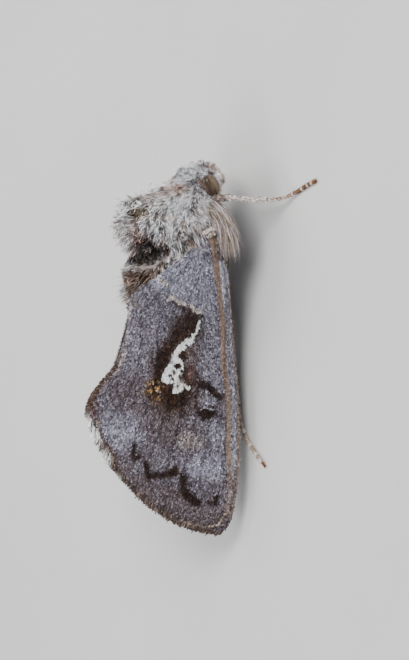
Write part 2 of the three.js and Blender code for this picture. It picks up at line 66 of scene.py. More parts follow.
def unit(vectors):
    return vectors / (np.linalg.norm(vectors, axis=-1, keepdims=True) + 1e-12)


def ease(low, high, x):
    t = np.clip((x - low) / (high - low), 0, 1)
    return t * t * (3 - 2 * t)


RIGHT, LEFT = 1, -1
SIDE_NAMES = {RIGHT: "right", LEFT: "left"}
MIRROR = np.array([-1.0, 1.0, 1.0])


def mirrored(points, side):
    return points if side == RIGHT else points * MIRROR


def facing(faces, side):
    """Faces turned over on the left side, because a mirror image would look inward."""
    return faces if side == RIGHT else faces[:, ::-1]


# %% [markdown]
# ## The view
# The moth is seen from its right side, a little from the front and from above, with its head up in
# the picture. The camera stands along one line from the body, far off with a long lens, so that
# the proportions stay true. The same two axes also give a flat drawing plane on which the wing's
# markings are laid out, as a stencil is laid over the wing.

# %% Camera
ELEVATION, TOWARDS_HEAD, ROLL = math.radians(30), math.radians(25), math.radians(-1.7243)
DOTS_HIGH = 660
MM_PER_DOT = 0.0596
HEADWARD = np.array([-math.sin(TOWARDS_HEAD), math.cos(TOWARDS_HEAD), 0.0])
SIDEWARD = np.array([
    math.sin(ELEVATION) * math.cos(TOWARDS_HEAD),
    math.sin(ELEVATION) * math.sin(TOWARDS_HEAD),
    -math.cos(ELEVATION),
])
TO_CAMERA = np.array([
    math.cos(ELEVATION) * math.cos(TOWARDS_HEAD),
    math.cos(ELEVATION) * math.sin(TOWARDS_HEAD),
    math.sin(ELEVATION),
])
DRAWING_ORIGIN = (-331.72, 213.52)
MIDDLE_OF_VIEW = np.array([-0.406, -0.470, 0.983])
LENS, FILM_HEIGHT = 900.0, 36.0
UP_THE_PICTURE = np.array([math.sin(ROLL), -math.cos(ROLL)])
ACROSS_THE_PICTURE = np.array([math.cos(ROLL), math.sin(ROLL)])


def drawing(points):
    """Where places on the animal fall on the drawing plane, in picture dots."""
    words = np.stack([-points[..., 0], ORIGIN_SHIFT - points[..., 1], points[..., 2]], axis=-1)
    a = DRAWING_ORIGIN[0] + words @ HEADWARD / MM_PER_DOT
    b = DRAWING_ORIGIN[1] + words @ SIDEWARD / MM_PER_DOT
    return a[..., None] * UP_THE_PICTURE + b[..., None] * ACROSS_THE_PICTURE


def add_camera():
    height_seen = DOTS_HIGH * MM_PER_DOT
    distance = height_seen * LENS / FILM_HEIGHT
    up = HEADWARD * math.cos(ROLL) - SIDEWARD * math.sin(ROLL)
    across = SIDEWARD * math.cos(ROLL) + HEADWARD * math.sin(ROLL)
    flip = np.array([-1.0, -1.0, 1.0])
    axes = [Vector(axis * flip) for axis in (across, up, TO_CAMERA)]
    stand = place(*(MIDDLE_OF_VIEW + TO_CAMERA * distance)) * MM
    camera = bpy.data.objects.new("camera", bpy.data.cameras.new("camera"))
    bpy.context.scene.collection.objects.link(camera)
    camera.data.sensor_fit = "VERTICAL"
    camera.data.sensor_height = FILM_HEIGHT
    camera.data.sensor_width = FILM_HEIGHT
    camera.data.lens = LENS
    camera.data.clip_start = 0.01
    camera.data.clip_end = 10
    turn = Matrix(axes).transposed().to_4x4()
    camera.matrix_world = Matrix.Translation(Vector(stand)) @ turn
    bpy.context.scene.camera = camera
    return camera


camera = add_camera()
print("camera at", [round(c, 3) for c in camera.location], "m")

# %% [markdown]
# ## Making meshes
# Each piece is worked out as arrays of points and triangles and handed to Blender in one go, which
# is quick even for half a million triangles. Colours that belong to places on the animal go along
# as a colour attribute, so that skin, scales and hair carry the same markings.

# %% Mesh helpers


def add_mesh(name, points, faces, smooth=True):
    faces = np.asarray(faces)
    sides = faces.shape[1]
    mesh = bpy.data.meshes.new(name)
    mesh.vertices.add(len(points))
    mesh.vertices.foreach_set("co", (np.asarray(points) * MM).ravel())
    mesh.loops.add(faces.size)
    mesh.loops.foreach_set("vertex_index", faces.ravel())
    mesh.polygons.add(len(faces))
    mesh.polygons.foreach_set("loop_start", np.arange(0, faces.size, sides))
    mesh.polygons.foreach_set("use_smooth", np.full(len(faces), smooth))
    mesh.update(calc_edges=True)
    piece = bpy.data.objects.new(name, mesh)
    bpy.context.scene.collection.objects.link(piece)
    return piece


def colour_points(piece, colours):
    layer = piece.data.color_attributes.new("markings", "FLOAT_COLOR", "POINT")
    full = np.ones((len(colours), 4))
    full[:, :3] = colours
    layer.data.foreach_set("color", full.ravel())


def unwrap_points(piece, places):
    layer = piece.data.uv_layers.new(name="OFBake")
    corners = np.empty(len(piece.data.loops), dtype=int)
    piece.data.loops.foreach_get("vertex_index", corners)
    layer.data.foreach_set("uv", places[corners].ravel())


def grid_faces(rows, columns, wrap=False):
    """Quads between the points of a grid, joined round when wrap is set."""
    across = columns if wrap else columns - 1
    r, c = np.meshgrid(np.arange(rows - 1), np.arange(across), indexing="ij")
    a = r * columns + c
    b = r * columns + (c + 1) % columns
    return np.stack([a, b, b + columns, a + columns], axis=-1).reshape(-1, 4)


def sheet_faces(rows, columns):
    """Faces of a closed sheet: the upper grid, the same grid below it and the rim between them."""
    count = rows * columns
    top = grid_faces(rows, columns)
    ring = np.concatenate([
        np.arange(columns), np.arange(1, rows) * columns + columns - 1,
        (rows - 1) * columns + np.arange(columns - 2, -1, -1), np.arange(rows - 2, 0, -1) * columns,
    ])
    after = np.roll(ring, -1)
    rim = np.stack([ring, ring + count, after + count, after], axis=-1)
    return np.vstack([top[:, ::-1], top + count, rim[:, ::-1]])


def hexa(code):
    """A display colour such as 75707a as the linear numbers that the shader works with."""
    values = np.array([int(code[i:i + 2], 16) / 255 for i in (0, 2, 4)])
    return np.where(values <= 0.04045, values / 12.92, ((values + 0.055) / 1.055) ** 2.4)


# %% [markdown]
# ## Natural unevenness
# Nothing on an animal is quite even. A lattice of fixed random numbers, blended smoothly, gives soft
# patches of any size, always the same on each run, and is used to ruffle edges, colours and hair.

# %% Soft noise
LATTICE = np.random.default_rng(5).random((64, 64))


def patches(x, y, size, layer=0):
    """Smooth random values between -1 and 1 with features of about the given size."""
    x = np.asarray(x) / size + 17.3 * layer
    y = np.asarray(y) / size + 5.9 * layer
    i, j = np.floor(x).astype(int), np.floor(y).astype(int)
    s, t = x - i, y - j
    s, t = s * s * (3 - 2 * s), t * t * (3 - 2 * t)
    corners = [[LATTICE[(i + di) % 64, (j + dj) % 64] for di in (0, 1)] for dj in (0, 1)]
    low, high = (pair[0] * (1 - s) + pair[1] * s for pair in corners)
    return 2 * (low * (1 - t) + high * t) - 1


print("lattice mean", round(float(LATTICE.mean()), 3))

# %% [markdown]
# ## The forewing's surface
# A folded moth wing is a slightly arched sheet between its leading edge, low beside the feet, and
# its inner edge, high along the back, where the two wings meet in a ridge that rises to a crest at
# the hind corner. The sheet is worked out from those two edges, each a smooth line through a few
# places, with `u` running from the root to the tip and `v` from the leading edge to the inner one.

# %% Wing surface
LEADING_EDGE = [
    (3.05, 6.7, 3.5), (2.97, 4.85, 2.42), (2.95, 3.2, 1.85), (3.3, 1.1, 1.4), (4.4, -2.3, 0.95),
    (5.4, -4.3, 0.9), (6.25, -6.5, 0.92), (6.73, -8.7, 1.0), (6.73, -9.9, 1.1), (6.2, -10.85, 1.3),
]
RIDGE_OUT = 0.27
INNER_EDGE = [
    (3.05, 6.35, 5.3), (2.45, 4.8, 6.35), (1.3, 3.2, 7.0), (RIDGE_OUT, 1.9, 7.08), (RIDGE_OUT, 0.1, 6.68),
    (RIDGE_OUT, -2.0, 6.82), (RIDGE_OUT, -3.4, 7.7), (RIDGE_OUT, -4.5, 8.28), (RIDGE_OUT, -5.4, 8.28),
]
WING = {"bulge": 0.75, "end_bulge": 2.0, "thickness": 0.14, "left_lead": 0.6}
VEINS = [
    (0.035, 0.0, 0.97), (0.13, 0.0, 0.9), (0.27, 0.5, 0.98), (0.38, 0.56, 0.98),
    (0.49, 0.56, 0.98), (0.6, 0.02, 0.98), (0.73, 0.42, 0.98), (0.88, 0.03, 0.98),
]


def smooth_line(places, samples=40):
    """A smooth curve through a few places, as a function of the share of its length."""
    points = place(*np.array(places, dtype=float).T)
    points = np.vstack([2 * points[0] - points[1], points, 2 * points[-1] - points[-2]])
    path = []
    for p0, p1, p2, p3 in zip(points, points[1:], points[2:], points[3:]):
        steps = ((p0, p1), (p1, p2), (p2, p3))
        d0, d1, d2 = (max(np.linalg.norm(b - a) ** 0.5, 1e-6) for a, b in steps)
        m1 = ((p1 - p0) / d0 - (p2 - p0) / (d0 + d1) + (p2 - p1) / d1) * d1
        m2 = ((p2 - p1) / d1 - (p3 - p1) / (d1 + d2) + (p3 - p2) / d2) * d1
        t = np.linspace(0, 1, samples, endpoint=False)[:, None]
        path.append(
            (2 * t ** 3 - 3 * t ** 2 + 1) * p1 + (t ** 3 - 2 * t ** 2 + t) * m1
            + (3 * t ** 2 - 2 * t ** 3) * p2 + (t ** 3 - t ** 2) * m2
        )
    path = np.vstack(path + [points[-2][None]])
    length = np.concatenate([[0], np.cumsum(np.linalg.norm(np.diff(path, axis=0), axis=1))])

    def at_share(share):
        where = np.clip(share, 0, 1) * length[-1]
        return np.stack([np.interp(where, length, path[:, k]) for k in range(3)], axis=-1)

    return at_share


leading_edge = smooth_line(LEADING_EDGE)
inner_edge = smooth_line(INNER_EDGE)


def wing_point(u, v):
    u, v = np.broadcast_arrays(np.asarray(u, float), np.asarray(v, float))
    lead, inner = leading_edge(u), inner_edge(np.clip(u, 0, 1) ** 1.15)
    outward = unit(lead - inner)
    normal = unit(np.stack([outward[..., 2], np.zeros_like(u), -outward[..., 0]], axis=-1))
    arch = 4 * v * (1 - v)
    point = lead + (inner - lead) * v[..., None]
    point = point + normal * (WING["bulge"] * arch * ease(0, 0.3, u) * (1 - 0.45 * u))[..., None]
    point[..., 1] += WING["end_bulge"] * arch * np.clip(u, 0, 1) ** 4.5 * (0.85 + 0.3 * v)
    return point


def wing_normal(u, v, step=0.004):
    along_u = wing_point(np.minimum(u + step, 1), v) - wing_point(np.maximum(u - step, 0), v)
    along_v = wing_point(u, np.minimum(v + step, 1)) - wing_point(u, np.maximum(v - step, 0))
    normal = unit(np.cross(along_u, along_v))
    inward = normal[..., 2] < 0.8 * normal[..., 0]
    return np.where(inward[..., None], -normal, normal)


def vein_rise(u, v, height=0.15, half=0.012):
    rise = np.zeros(np.broadcast(u, v).shape)
    for where, start, end in VEINS:
        present = ease(start - 0.06, start + 0.04, u) * (1 - ease(end - 0.12, end, u))
        rise = np.maximum(rise, height * present * np.exp(-((v - where) / half) ** 2))
    return rise


span = float(np.linalg.norm(wing_point(0.0, 0.0) - wing_point(1.0, 0.0)))
print("forewing", round(span, 1), "mm from shoulder to tip")

# %% [markdown]
# ## The wing's markings
# On the real wing every scale has one colour, and together they make the pattern: a lavender-grey
# ground, a dark brown middle field, a silver mark like a bent letter, and a jagged dark line near the
# outer edge. Each marking here is an outline or a stroke on the drawing plane with a soft, ruffled
# border, laid over the ones before it. An image would be simpler but would blur and could not be
# shared by scales, membrane and hair.

# %% Distances to outlines and strokes


def segment_distance(points, start, end):
    along = end - start
    share = np.clip(((points - start) @ along) / (along @ along + 1e-9), 0, 1)
    return np.linalg.norm(points - start - share[..., None] * along, axis=-1)


def stroke_distance(points, line):
    line = np.array(line, float)
    return np.min([segment_distance(points, a, b) for a, b in zip(line, line[1:])], axis=0)


def outline_distance(points, outline):
    """Distance to the border of a closed outline, below zero inside it."""
    ring = np.array(list(outline) + [outline[0]], float)
    distance = stroke_distance(points, ring)
    inside = np.zeros(points.shape[:-1], bool)
    for a, b in zip(ring, ring[1:]):
        crosses = (a[1] > points[..., 1]) != (b[1] > points[..., 1])
        reach = (b[0] - a[0]) * (points[..., 1] - a[1]) / (b[1] - a[1] + 1e-9) + a[0]
        inside ^= crosses & (points[..., 0] < reach)
    return np.where(inside, -distance, distance)


# %% [markdown]
# ## Where the markings lie
# A moth's pattern is made of a few well-bounded fields, so each is written as an outline with only
# the points that its shape needs, in dots of the drawing plane. They could be painted by hand, but
# written places can be read, moved one by one and mirrored for the left wing.

# %% Outlines of the markings
SILVER_MARK = [
    (199.9, 319.6), (199.3, 326.3), (197.4, 332.5), (194.2, 335.5), (193.8, 341), (191.5, 344.4),
    (188, 345.5), (183.5, 349.3), (178.4, 353), (177.2, 357), (180, 359.5), (182.9, 361.5), (183.4, 367),
    (182.6, 372), (180.5, 377.5), (176, 380), (172.5, 382.5), (167.4, 383.3), (162.8, 381.2),
    (162.4, 376.2), (165.7, 369.6), (169, 364.6), (172, 361), (172.2, 356), (175, 350.6), (180.2, 343.8),
    (186.3, 339.3), (191.2, 335), (196.2, 330), (198.1, 322.3),
]
SILVER_TAIL = [
    (174.6, 381), (174.2, 388), (173, 392.2), (176.3, 393.8), (179.8, 391), (185.6, 388.2), (188.3, 389.7),
    (190, 386), (185.2, 384.8), (180.6, 383.3), (179, 377.9),
]
MIDDLE_FIELD = [
    (186, 303), (203, 315), (200, 330), (196, 345), (189, 353), (185, 362), (195, 370), (197, 384),
    (191, 396), (180, 402), (172, 412), (162, 409), (156, 396), (148, 386), (150, 370), (157, 352),
    (166, 334), (176, 317),
]
DEEP_SHADE = [
    (186, 314), (201, 311), (199, 324), (190, 334), (181, 341), (173, 350), (169, 361), (161, 372),
    (160, 384), (172, 386), (171, 396), (164, 402), (157, 396), (153, 382), (157, 366), (164, 350),
    (172, 334), (180, 322),
]
LOWER_FIELD = [
    (148, 382), (172, 390), (192, 386), (204, 396), (200, 410), (184, 418), (172, 422), (158, 414),
    (150, 400),
]
LOWER_SHADE = [(164, 388), (178, 396), (190, 392), (184, 404), (172, 412), (162, 402)]
SHADE_BEHIND_THE_MARK = [
    (160, 350), (172, 342), (168, 360), (163, 374), (168, 386), (178, 391), (188, 391), (184, 402),
    (172, 408), (162, 402), (156, 392), (153, 374),
]
BLUE_BASE = [(150, 268), (172, 246), (205, 250), (214, 275), (214, 330), (200, 318), (176, 296), (156, 288)]
BLUE_STRIP = [(208, 318), (220, 320), (222, 400), (205, 372)]
BLUE_INNER_FIELD = [(124, 300), (150, 300), (160, 330), (150, 360), (128, 370), (122, 345)]
MAUVE_BAND = [(112, 392), (135, 370), (150, 395), (168, 420), (196, 418), (190, 445), (150, 440), (120, 420)]
OUTER_MARGIN = [
    (96, 425), (118, 452), (134, 470), (150, 484), (178, 486), (190, 508), (220, 508), (230, 512),
    (226, 534), (180, 526), (135, 510), (104, 470),
]
BETWEEN_THE_VEINS = [(218, 262), (226, 262), (240, 400), (238, 470), (231, 470), (226, 390), (222, 330)]
print("points of the silver mark:", len(SILVER_MARK) + len(SILVER_TAIL))

# %% [markdown]
# ## Lines on the wing
# Thin lines and veins are strokes along a few points. Where a list holds more than the line, the
# numbers after it say how strong or how wide the stroke is and how soft. Outlines would need twice
# the points for the same line.

# %% Lines of the markings
RIM_LINE = [
    (98, 420), (100, 439), (108.5, 449), (112.6, 457), (115.6, 473.5), (123.8, 484.7), (131, 495),
    (142, 501), (151, 506), (164.6, 513), (177, 519.4), (192, 524.5), (203, 526.5), (218, 524), (227, 512),
]
FIRST_LINE = [
    (169, 300), (173, 296.5), (179, 302.5), (185, 304), (192.4, 306), (194.5, 310), (198.5, 312.3),
    (202, 311),
]
FIRST_LINE_SHADE = np.array([0, -4.5])
BASE_LINE = [(150, 275), (156, 276), (161, 280), (167, 285)]
HIND_CORNER_LINE = [(98, 385), (91, 400), (93, 414)]
HIND_EDGE_LINES = [
    ([(131, 300), (127, 325), (125, 349), (117, 370)], 0.5, 1.4),
    ([(116, 372), (108, 379), (101, 389)], 0.6, 1.6),
]
BIG_VEIN = [
    (214, 240), (215, 258), (216.5, 273), (218.8, 290), (219.6, 298.3), (221.7, 315), (222.9, 331.5),
    (222.9, 348), (223.7, 364.6), (225.4, 377), (227.6, 393.6), (228, 414), (228, 447), (229.5, 467),
    (231, 486), (228, 512),
]
BIG_VEIN_END = [(230, 462), (231, 490), (229, 512)]
BIG_VEIN_FADES = (452, 485)
EDGE_VEIN = [
    (229, 285), (231, 300), (233, 330), (235, 360), (237, 385), (238.5, 410), (239, 450), (238, 486),
    (233, 512),
]
KIDNEY_RIM = [
    ([(201, 386), (196, 392), (195, 400), (198, 408)], 2.2),
    ([(213, 409), (218, 416), (219, 423)], 1.8),
]
KIDNEY_BARS = [([(202, 384), (207, 387), (211, 390)], 4.3, 1.4), ([(210, 389), (221, 398)], 3.2, 1.3)]
KIDNEY_LIGHTS = [([(200, 410), (204.7, 406.5), (212.5, 409.6)], 0.85), ([(206, 391), (212, 396)], 0.7)]
OUTER_BLOTCHES = [
    ([(134, 446), (134.5, 459), (140, 457)], 1.6),
    ([(146.5, 463), (147.5, 471), (148, 478)], 2.0),
    ([(148, 477), (158, 474.5), (166, 474), (171, 472), (176, 468.5)], 2.6),
    ([(172, 471), (175, 473)], 2.4),
    ([(183, 476), (183, 487), (185, 494)], 2.2),
    ([(185, 493), (191, 498.5), (197, 503)], 3.0),
    ([(216.8, 496), (216, 503)], 1.7),
    ([(208, 502), (212, 504)], 0.9),
]
print("dark blotches before the outer edge:", len(OUTER_BLOTCHES))

# %% [markdown]
# ## Spots on the wing
# A round or oval field is a spot: its middle across and down, its half width and half height, and
# for some its softness. A spot's softness grows with its size, which suits a blurred bloom.

# %% Spots of the markings
SILVER_HOLE = (177.9, 365.8, 4.0, 3.2)
SILVER_SPECKS = [
    (170.2, 375.4, 2.2, 1.7), (174.4, 372.6, 1.6, 2.4), (173.0, 378.8, 1.9, 1.6), (181.6, 371.2, 1.5, 2.2),
    (180.2, 376.6, 1.8, 2.2), (182.6, 382.0, 3.0, 2.0), (188.2, 384.6, 1.8, 1.6), (193.6, 331.5, 2.2, 2.4),
    (196.6, 336.0, 1.7, 1.8), (189.8, 336.6, 2.2, 1.7), (186.6, 344.6, 1.7, 1.5), (178.2, 385.6, 1.6, 2.0),
    (184.8, 388.2, 1.7, 1.4),
]
OUTER_TINTS = [
    ("lavender", 0.7, (208, 466, 20, 12)), ("lavender", 0.55, (216, 433, 8, 14)),
    ("lavender", 0.6, (122, 430, 20, 18)), ("brown", 0.25, (172, 444, 24, 14)),
    ("beige", 0.3, (191, 441, 12, 9)),
]
SHADE_IN_THE_BEND = (182.5, 355.5, 5, 4.5, 0.4)
GREY_BESIDE_THE_BEND = (193, 352, 6.5, 17, 0.3)
ROUND_MARK = (190.5, 375.5)
ROUND_MARK_RING = (5.2, 8.2)
ROUND_MARK_CORE = (5, 8)
RUST_GROUND = (154, 391, 9.5, 10, 0.5)
RUST_SPECKS = (153.5, 391, 9, 10, 0.6)
RUSTY_PLACES = [(165, 400, 15, 18), (174, 345, 16, 20), (190, 372, 6, 9)]
KIDNEY_GROUND = (212, 402, 12, 12)
KIDNEY_BLOOM = (211, 401, 7, 4)
KIDNEY_PUPIL = (206.5, 412.5, 10, 7.6, 0.3)
VEIN_SWELLING = (217, 268, 9, 13, 0.6)
VEIN_BLUSH = (216, 271, 3, 5)
TAIL_BLUSH = (181.8, 383.4, 4.4, 3.0)
MAUVE_FROM, BLUE_FROM, PALE_UNTIL = (300, 340), (300, 350), (300, 315)
print("dark scales in the silver:", len(SILVER_SPECKS))


# %% [markdown]
# ## Inks and how they are laid
# The scales of a moth hold few pigments. Each is a named ink here, and a marking is a share of an
# ink laid over what is there, soft at its border. Mix nodes in a shader could do the same, but only
# a function can be asked by scales, membrane and hair alike.

# %% Inks
def inks(**codes):
    return {name: hexa(code) for name, code in codes.items()}


INK = inks(
    ground="666069", blue="9b9cab", mauve="574a4a", lavender="918f9e", dark="30221d", deep="21140e",
    brown="3d2f28", silver="f6f5f1", rust="74502f", orange="a5804f", beige="c0b1a6", vein="8c7666",
    rim="9c897c", pale="d0ced8", fringe="5b4c46", red="6e4733", under="8b8078", frost="cacbd9",
)


def blend(colour, name, amount):
    amount = np.clip(amount, 0, 1)[..., None]
    return colour * (1 - amount) + INK[name] * amount


def near(distance, reach, softness):
    """One within reach of a marking and falling softly to nothing beyond it."""
    return 1 - ease(reach - softness, reach + softness, distance)


def spot(p, x, y, rx, ry, softness=0.5):
    reach = np.sqrt(((p[..., 0] - x) / rx) ** 2 + ((p[..., 1] - y) / ry) ** 2)
    return near(reach, 1.0, softness)


def field(p, outline, softness, reach=0):
    return near(outline_distance(p, outline), reach, softness)


def stroke(p, line, reach, softness):
    return near(stroke_distance(p, line), reach, softness)


print("inks of the wing:", len(INK))

# %% [markdown]
# ## Ground and middle field
# The wing is darkest round the silver mark, which makes the mark shine. The fields are laid from the
# widest to the smallest, as a painter works, because each covers a part of the ones before it.

# %% The ground and the middle of the wing


def ground_colours(shape, q, coarse, x, y):
    """Grey, blue and lavender fields under the dark middle field."""
    colour = np.broadcast_to(INK["ground"], shape).copy()
    colour = blend(colour, "blue", 0.55 * field(q, BLUE_BASE, 6))
    colour = blend(colour, "blue", 0.35 * field(q, BLUE_STRIP, 7))
    colour = blend(colour, "mauve", 0.55 * (0.5 + 0.5 * patches(x, y, 26, 5)) * ease(*MAUVE_FROM, y))
    colour = blend(colour, "mauve", 0.6 * field(q, MAUVE_BAND, 9))
    colour = blend(colour, "blue", 0.12 * field(q, BLUE_INNER_FIELD, 10) * ease(*BLUE_FROM, y))
    for ink, strength, where in OUTER_TINTS:
        colour = blend(colour, ink, strength * spot(q, *where))
    colour = blend(colour, "brown", 0.85 * field(q + 1.5 * coarse, MIDDLE_FIELD, 8, 1))
    colour = blend(colour, "deep", (0.8 + 0.12 * patches(x, y, 6, 10)) * field(q, DEEP_SHADE, 4.6))
    colour = blend(colour, "brown", 0.8 * field(q, LOWER_FIELD, 7))
    colour = blend(colour, "deep", 0.7 * field(q, LOWER_SHADE, 5))
    colour = blend(colour, "deep", 0.75 * field(q, SHADE_BEHIND_THE_MARK, 4))
    colour = blend(colour, "deep", 0.8 * spot(q, *SHADE_IN_THE_BEND))
    return blend(colour, "mauve", 0.85 * spot(q, *GREY_BESIDE_THE_BEND))


def round_and_rusty_marks(colour, q, fine, x, y):
    """The ring beside the silver mark and the rusty specks around it."""
    across = (x - ROUND_MARK[0]) / ROUND_MARK_RING[0]
    down = (y - ROUND_MARK[1]) / ROUND_MARK_RING[1]
    ring = np.abs(np.sqrt(across ** 2 + down ** 2) - 1)
    core = spot(fine, *ROUND_MARK, *ROUND_MARK_CORE)
    colour = blend(colour, "red", 0.4 * core * (0.6 + 0.4 * patches(x, y, 2, 16)))
    colour = blend(colour, "deep", 0.75 * near(ring, 0.3, 0.3))
    colour = blend(colour, "dark", 0.7 * spot(q, *RUST_GROUND))
    colour = blend(colour, "orange", 0.95 * spot(q, *RUST_SPECKS) * ease(0.05, 0.4, patches(x, y, 1.8, 6)))
    for where in RUSTY_PLACES:
        colour = blend(colour, "rust", 0.17 * spot(q, *where) * ease(0.1, 0.45, patches(x, y, 2.2, 22)))
    return colour


def kidney_mark(colour, q, fine, ruffle):
    """The kidney-shaped mark near the leading edge, with its dark bars and fine pale lines."""
    colour = blend(colour, "mauve", 0.5 * spot(q, *KIDNEY_GROUND))
    colour = blend(colour, "lavender", 0.45 * spot(q, *KIDNEY_BLOOM))
    for line, reach, softness in KIDNEY_BARS:
        colour = blend(colour, "deep", 0.9 * stroke(fine, line, reach, softness))
    for line, reach in KIDNEY_RIM:
        colour = blend(colour, "deep", 0.55 * stroke(fine, line, reach, 2.0))
    colour = blend(colour, "deep", 0.97 * spot(fine + 0.6 * ruffle, *KIDNEY_PUPIL))
    for line, strength in KIDNEY_LIGHTS:
        colour = blend(colour, "pale", strength * stroke(fine, line, 0.5, 0.7))
    return colour


# %% [markdown]
# ## Blotches, cross lines and veins
# Towards its outer edge the wing has jagged dark blotches and a pale line before the fringe, and
# pale lines cross its base. The brown veins could be pieces of their own, but as colours on the
# raised membrane they stay one surface with it.

# %% The outer part, the lines and the veins


def outer_part(colour, q, fine, coarse):
    """Jagged dark blotches, the darker margin and the pale rim line."""
    for line, reach in OUTER_BLOTCHES:
        colour = blend(colour, "brown", 0.6 * stroke(q, line, reach * 2.0, 2.5))
        colour = blend(colour, "deep", 0.9 * stroke(fine + 0.8 * coarse, line, reach * 1.3, 1.6))
    rim = stroke_distance(fine, RIM_LINE)
    colour = blend(colour, "mauve", 0.75 * field(q, OUTER_MARGIN, 4))
    colour = blend(colour, "brown", 0.7 * near(rim, 3.2, 1.6))
    return blend(colour, "rim", 0.85 * near(rim, 1.0, 0.9))


def cross_lines(colour, q, fine):
    """The pale lines across the wing's base and along its hind edge."""
    colour = blend(colour, "dark", 0.7 * stroke(fine + FIRST_LINE_SHADE, FIRST_LINE, 1.8, 1.6))
    colour = blend(colour, "beige", 0.95 * stroke(fine, FIRST_LINE, 1.5, 1.0))
    colour = blend(colour, "beige", 0.7 * stroke(fine, BASE_LINE, 2.0, 1.5))
    colour = blend(colour, "brown", 0.5 * stroke(q, HIND_CORNER_LINE, 4, 3.5))
    colour = blend(colour, "red", 0.3 * stroke(q, HIND_CORNER_LINE, 4, 3.5))
    for line, strength, softness in HIND_EDGE_LINES:
        colour = blend(colour, "beige", strength * stroke(q, line, 1.6, softness))
    return colour


def veins(colour, p, q, fine, ruffle, y):
    """The two brown veins by the leading edge, and how smooth the scales lie on them."""
    pale_share = 0.2 + 0.3 * (1 - ease(*PALE_UNTIL, y))
    colour = blend(colour, "pale", pale_share * field(fine, BETWEEN_THE_VEINS, 1))
    edge_vein = stroke(p, EDGE_VEIN, 1.7, 0.8)
    big_vein = stroke(p + 0.2 * ruffle, BIG_VEIN, 2.4 + 0.9 * spot(p, *VEIN_SWELLING), 0.6)
    big_vein = big_vein * (1 - ease(*BIG_VEIN_FADES, y))
    colour = blend(colour, "vein", 0.4 * stroke(q, BIG_VEIN_END, 4, 3))
    colour = blend(colour, "vein", 0.85 * edge_vein)
    colour = blend(colour, "vein", 0.96 * big_vein)
    return blend(colour, "red", 0.3 * spot(q, *VEIN_BLUSH)), np.maximum(0.7 * edge_vein, big_vein)


# %% [markdown]
# ## The silver mark
# The mark is a small bent letter of scales that scatter all light, so it gleams like metal without
# being metal. It needs no metal shader: near white, a dark seam round it, a few dark scales in it and
# grey patches of painted shade for its relief are what the eye reads as silver.

# %% The silver mark and the whole wing


def silver_mark(colour, p, fine, x, y):
    """The bent silver letter with its hole and its dark specks."""
    mark = np.minimum(outline_distance(p, SILVER_MARK), outline_distance(p, SILVER_TAIL))
    silver = near(mark, 0.3, 0.45) * (1 - spot(p, *SILVER_HOLE, 0.15))
    colour = blend(colour, "deep", near(mark, 1.5, 1.3) * 0.8)
    gaps = np.max([spot(p, *speck, 0.35) for speck in SILVER_SPECKS], axis=0)
    # Painted shade of the mark's relief: smooth patches grey the silver by up to a quarter.
    relief_shade = 0.99 - 0.26 * (0.5 + 0.5 * patches(x, y, 1.9, 15))
    colour = blend(colour, "silver", silver * (1 - 0.98 * gaps) * relief_shade)
    blush = 0.8 * spot(fine, *TAIL_BLUSH) * ease(-0.5, 0.3, patches(x, y, 1.6, 9))
    return blend(colour, "beige", blush), silver


def wing_colours(points):
    """The colour of the right forewing at places on it; the left one is asked at its mirror places."""
    p = drawing(points)
    x, y = p[..., 0], p[..., 1]
    ruffle = np.stack([patches(x, y, 3.2, 1), patches(x, y, 3.2, 2)], axis=-1)
    coarse = np.stack([patches(x, y, 9, 3), patches(x, y, 9, 4)], axis=-1)
    q = p + 1.5 * ruffle + 1.5 * coarse
    fine = p + 0.5 * ruffle
    colour = ground_colours(points.shape, q, coarse, x, y)
    colour = round_and_rusty_marks(colour, q, fine, x, y)
    colour = kidney_mark(colour, q, fine, ruffle)
    streaks = patches(0.94 * x - 0.34 * y, 0.07 * x + 0.19 * y, 4, 31)
    colour = colour * (1 + 0.15 * streaks + 0.14 * patches(x, y, 12, 32))[..., None]
    colour = outer_part(colour, q, fine, coarse)
    colour = cross_lines(colour, q, fine)
    colour, smooth_vein = veins(colour, p, q, fine, ruffle, y)
    colour, silver = silver_mark(colour, p, fine, x, y)
    return colour, np.maximum(silver, 0.8 * smooth_vein)


def speckled(colour, silver, rng):
    """Each scale differs a little: some are nearly black, some are frosted, most vary in tone."""
    count = len(colour)
    draw = rng.random(count)
    tone = np.exp(0.42 * rng.standard_normal(count))[:, None]
    mixed = colour * tone
    level = colour.mean(axis=-1)
    bright_enough = np.clip((level - 0.02) / 0.15, 0.05, 1)
    frosted = ((draw > 0.74) * 0.55 * bright_enough * rng.random(count))[:, None]
    mixed = mixed * (1 - frosted) + INK["frost"] * frosted
    inked = ((draw < 0.26) * 0.75 * rng.random(count) ** 0.7)[:, None]
    mixed = mixed * (1 - inked) + INK["deep"] * inked
    plain = silver[:, None]
    return np.clip(mixed * (1 - plain) + colour * np.clip(tone, 0.8, 1.1) * plain, 0, 1)


# %% [markdown]
# ## Finishes
# Scales and hair are dry and matt with a faint sheen; only the eyes are glossy. Each finish takes
# the colour that the piece carries and adds what is finer than its mesh: a grain of tone and a bump
# from small noise. Values that are the same all over are set straight on the shader.

# %% Finishes


GLOSS = 0.1


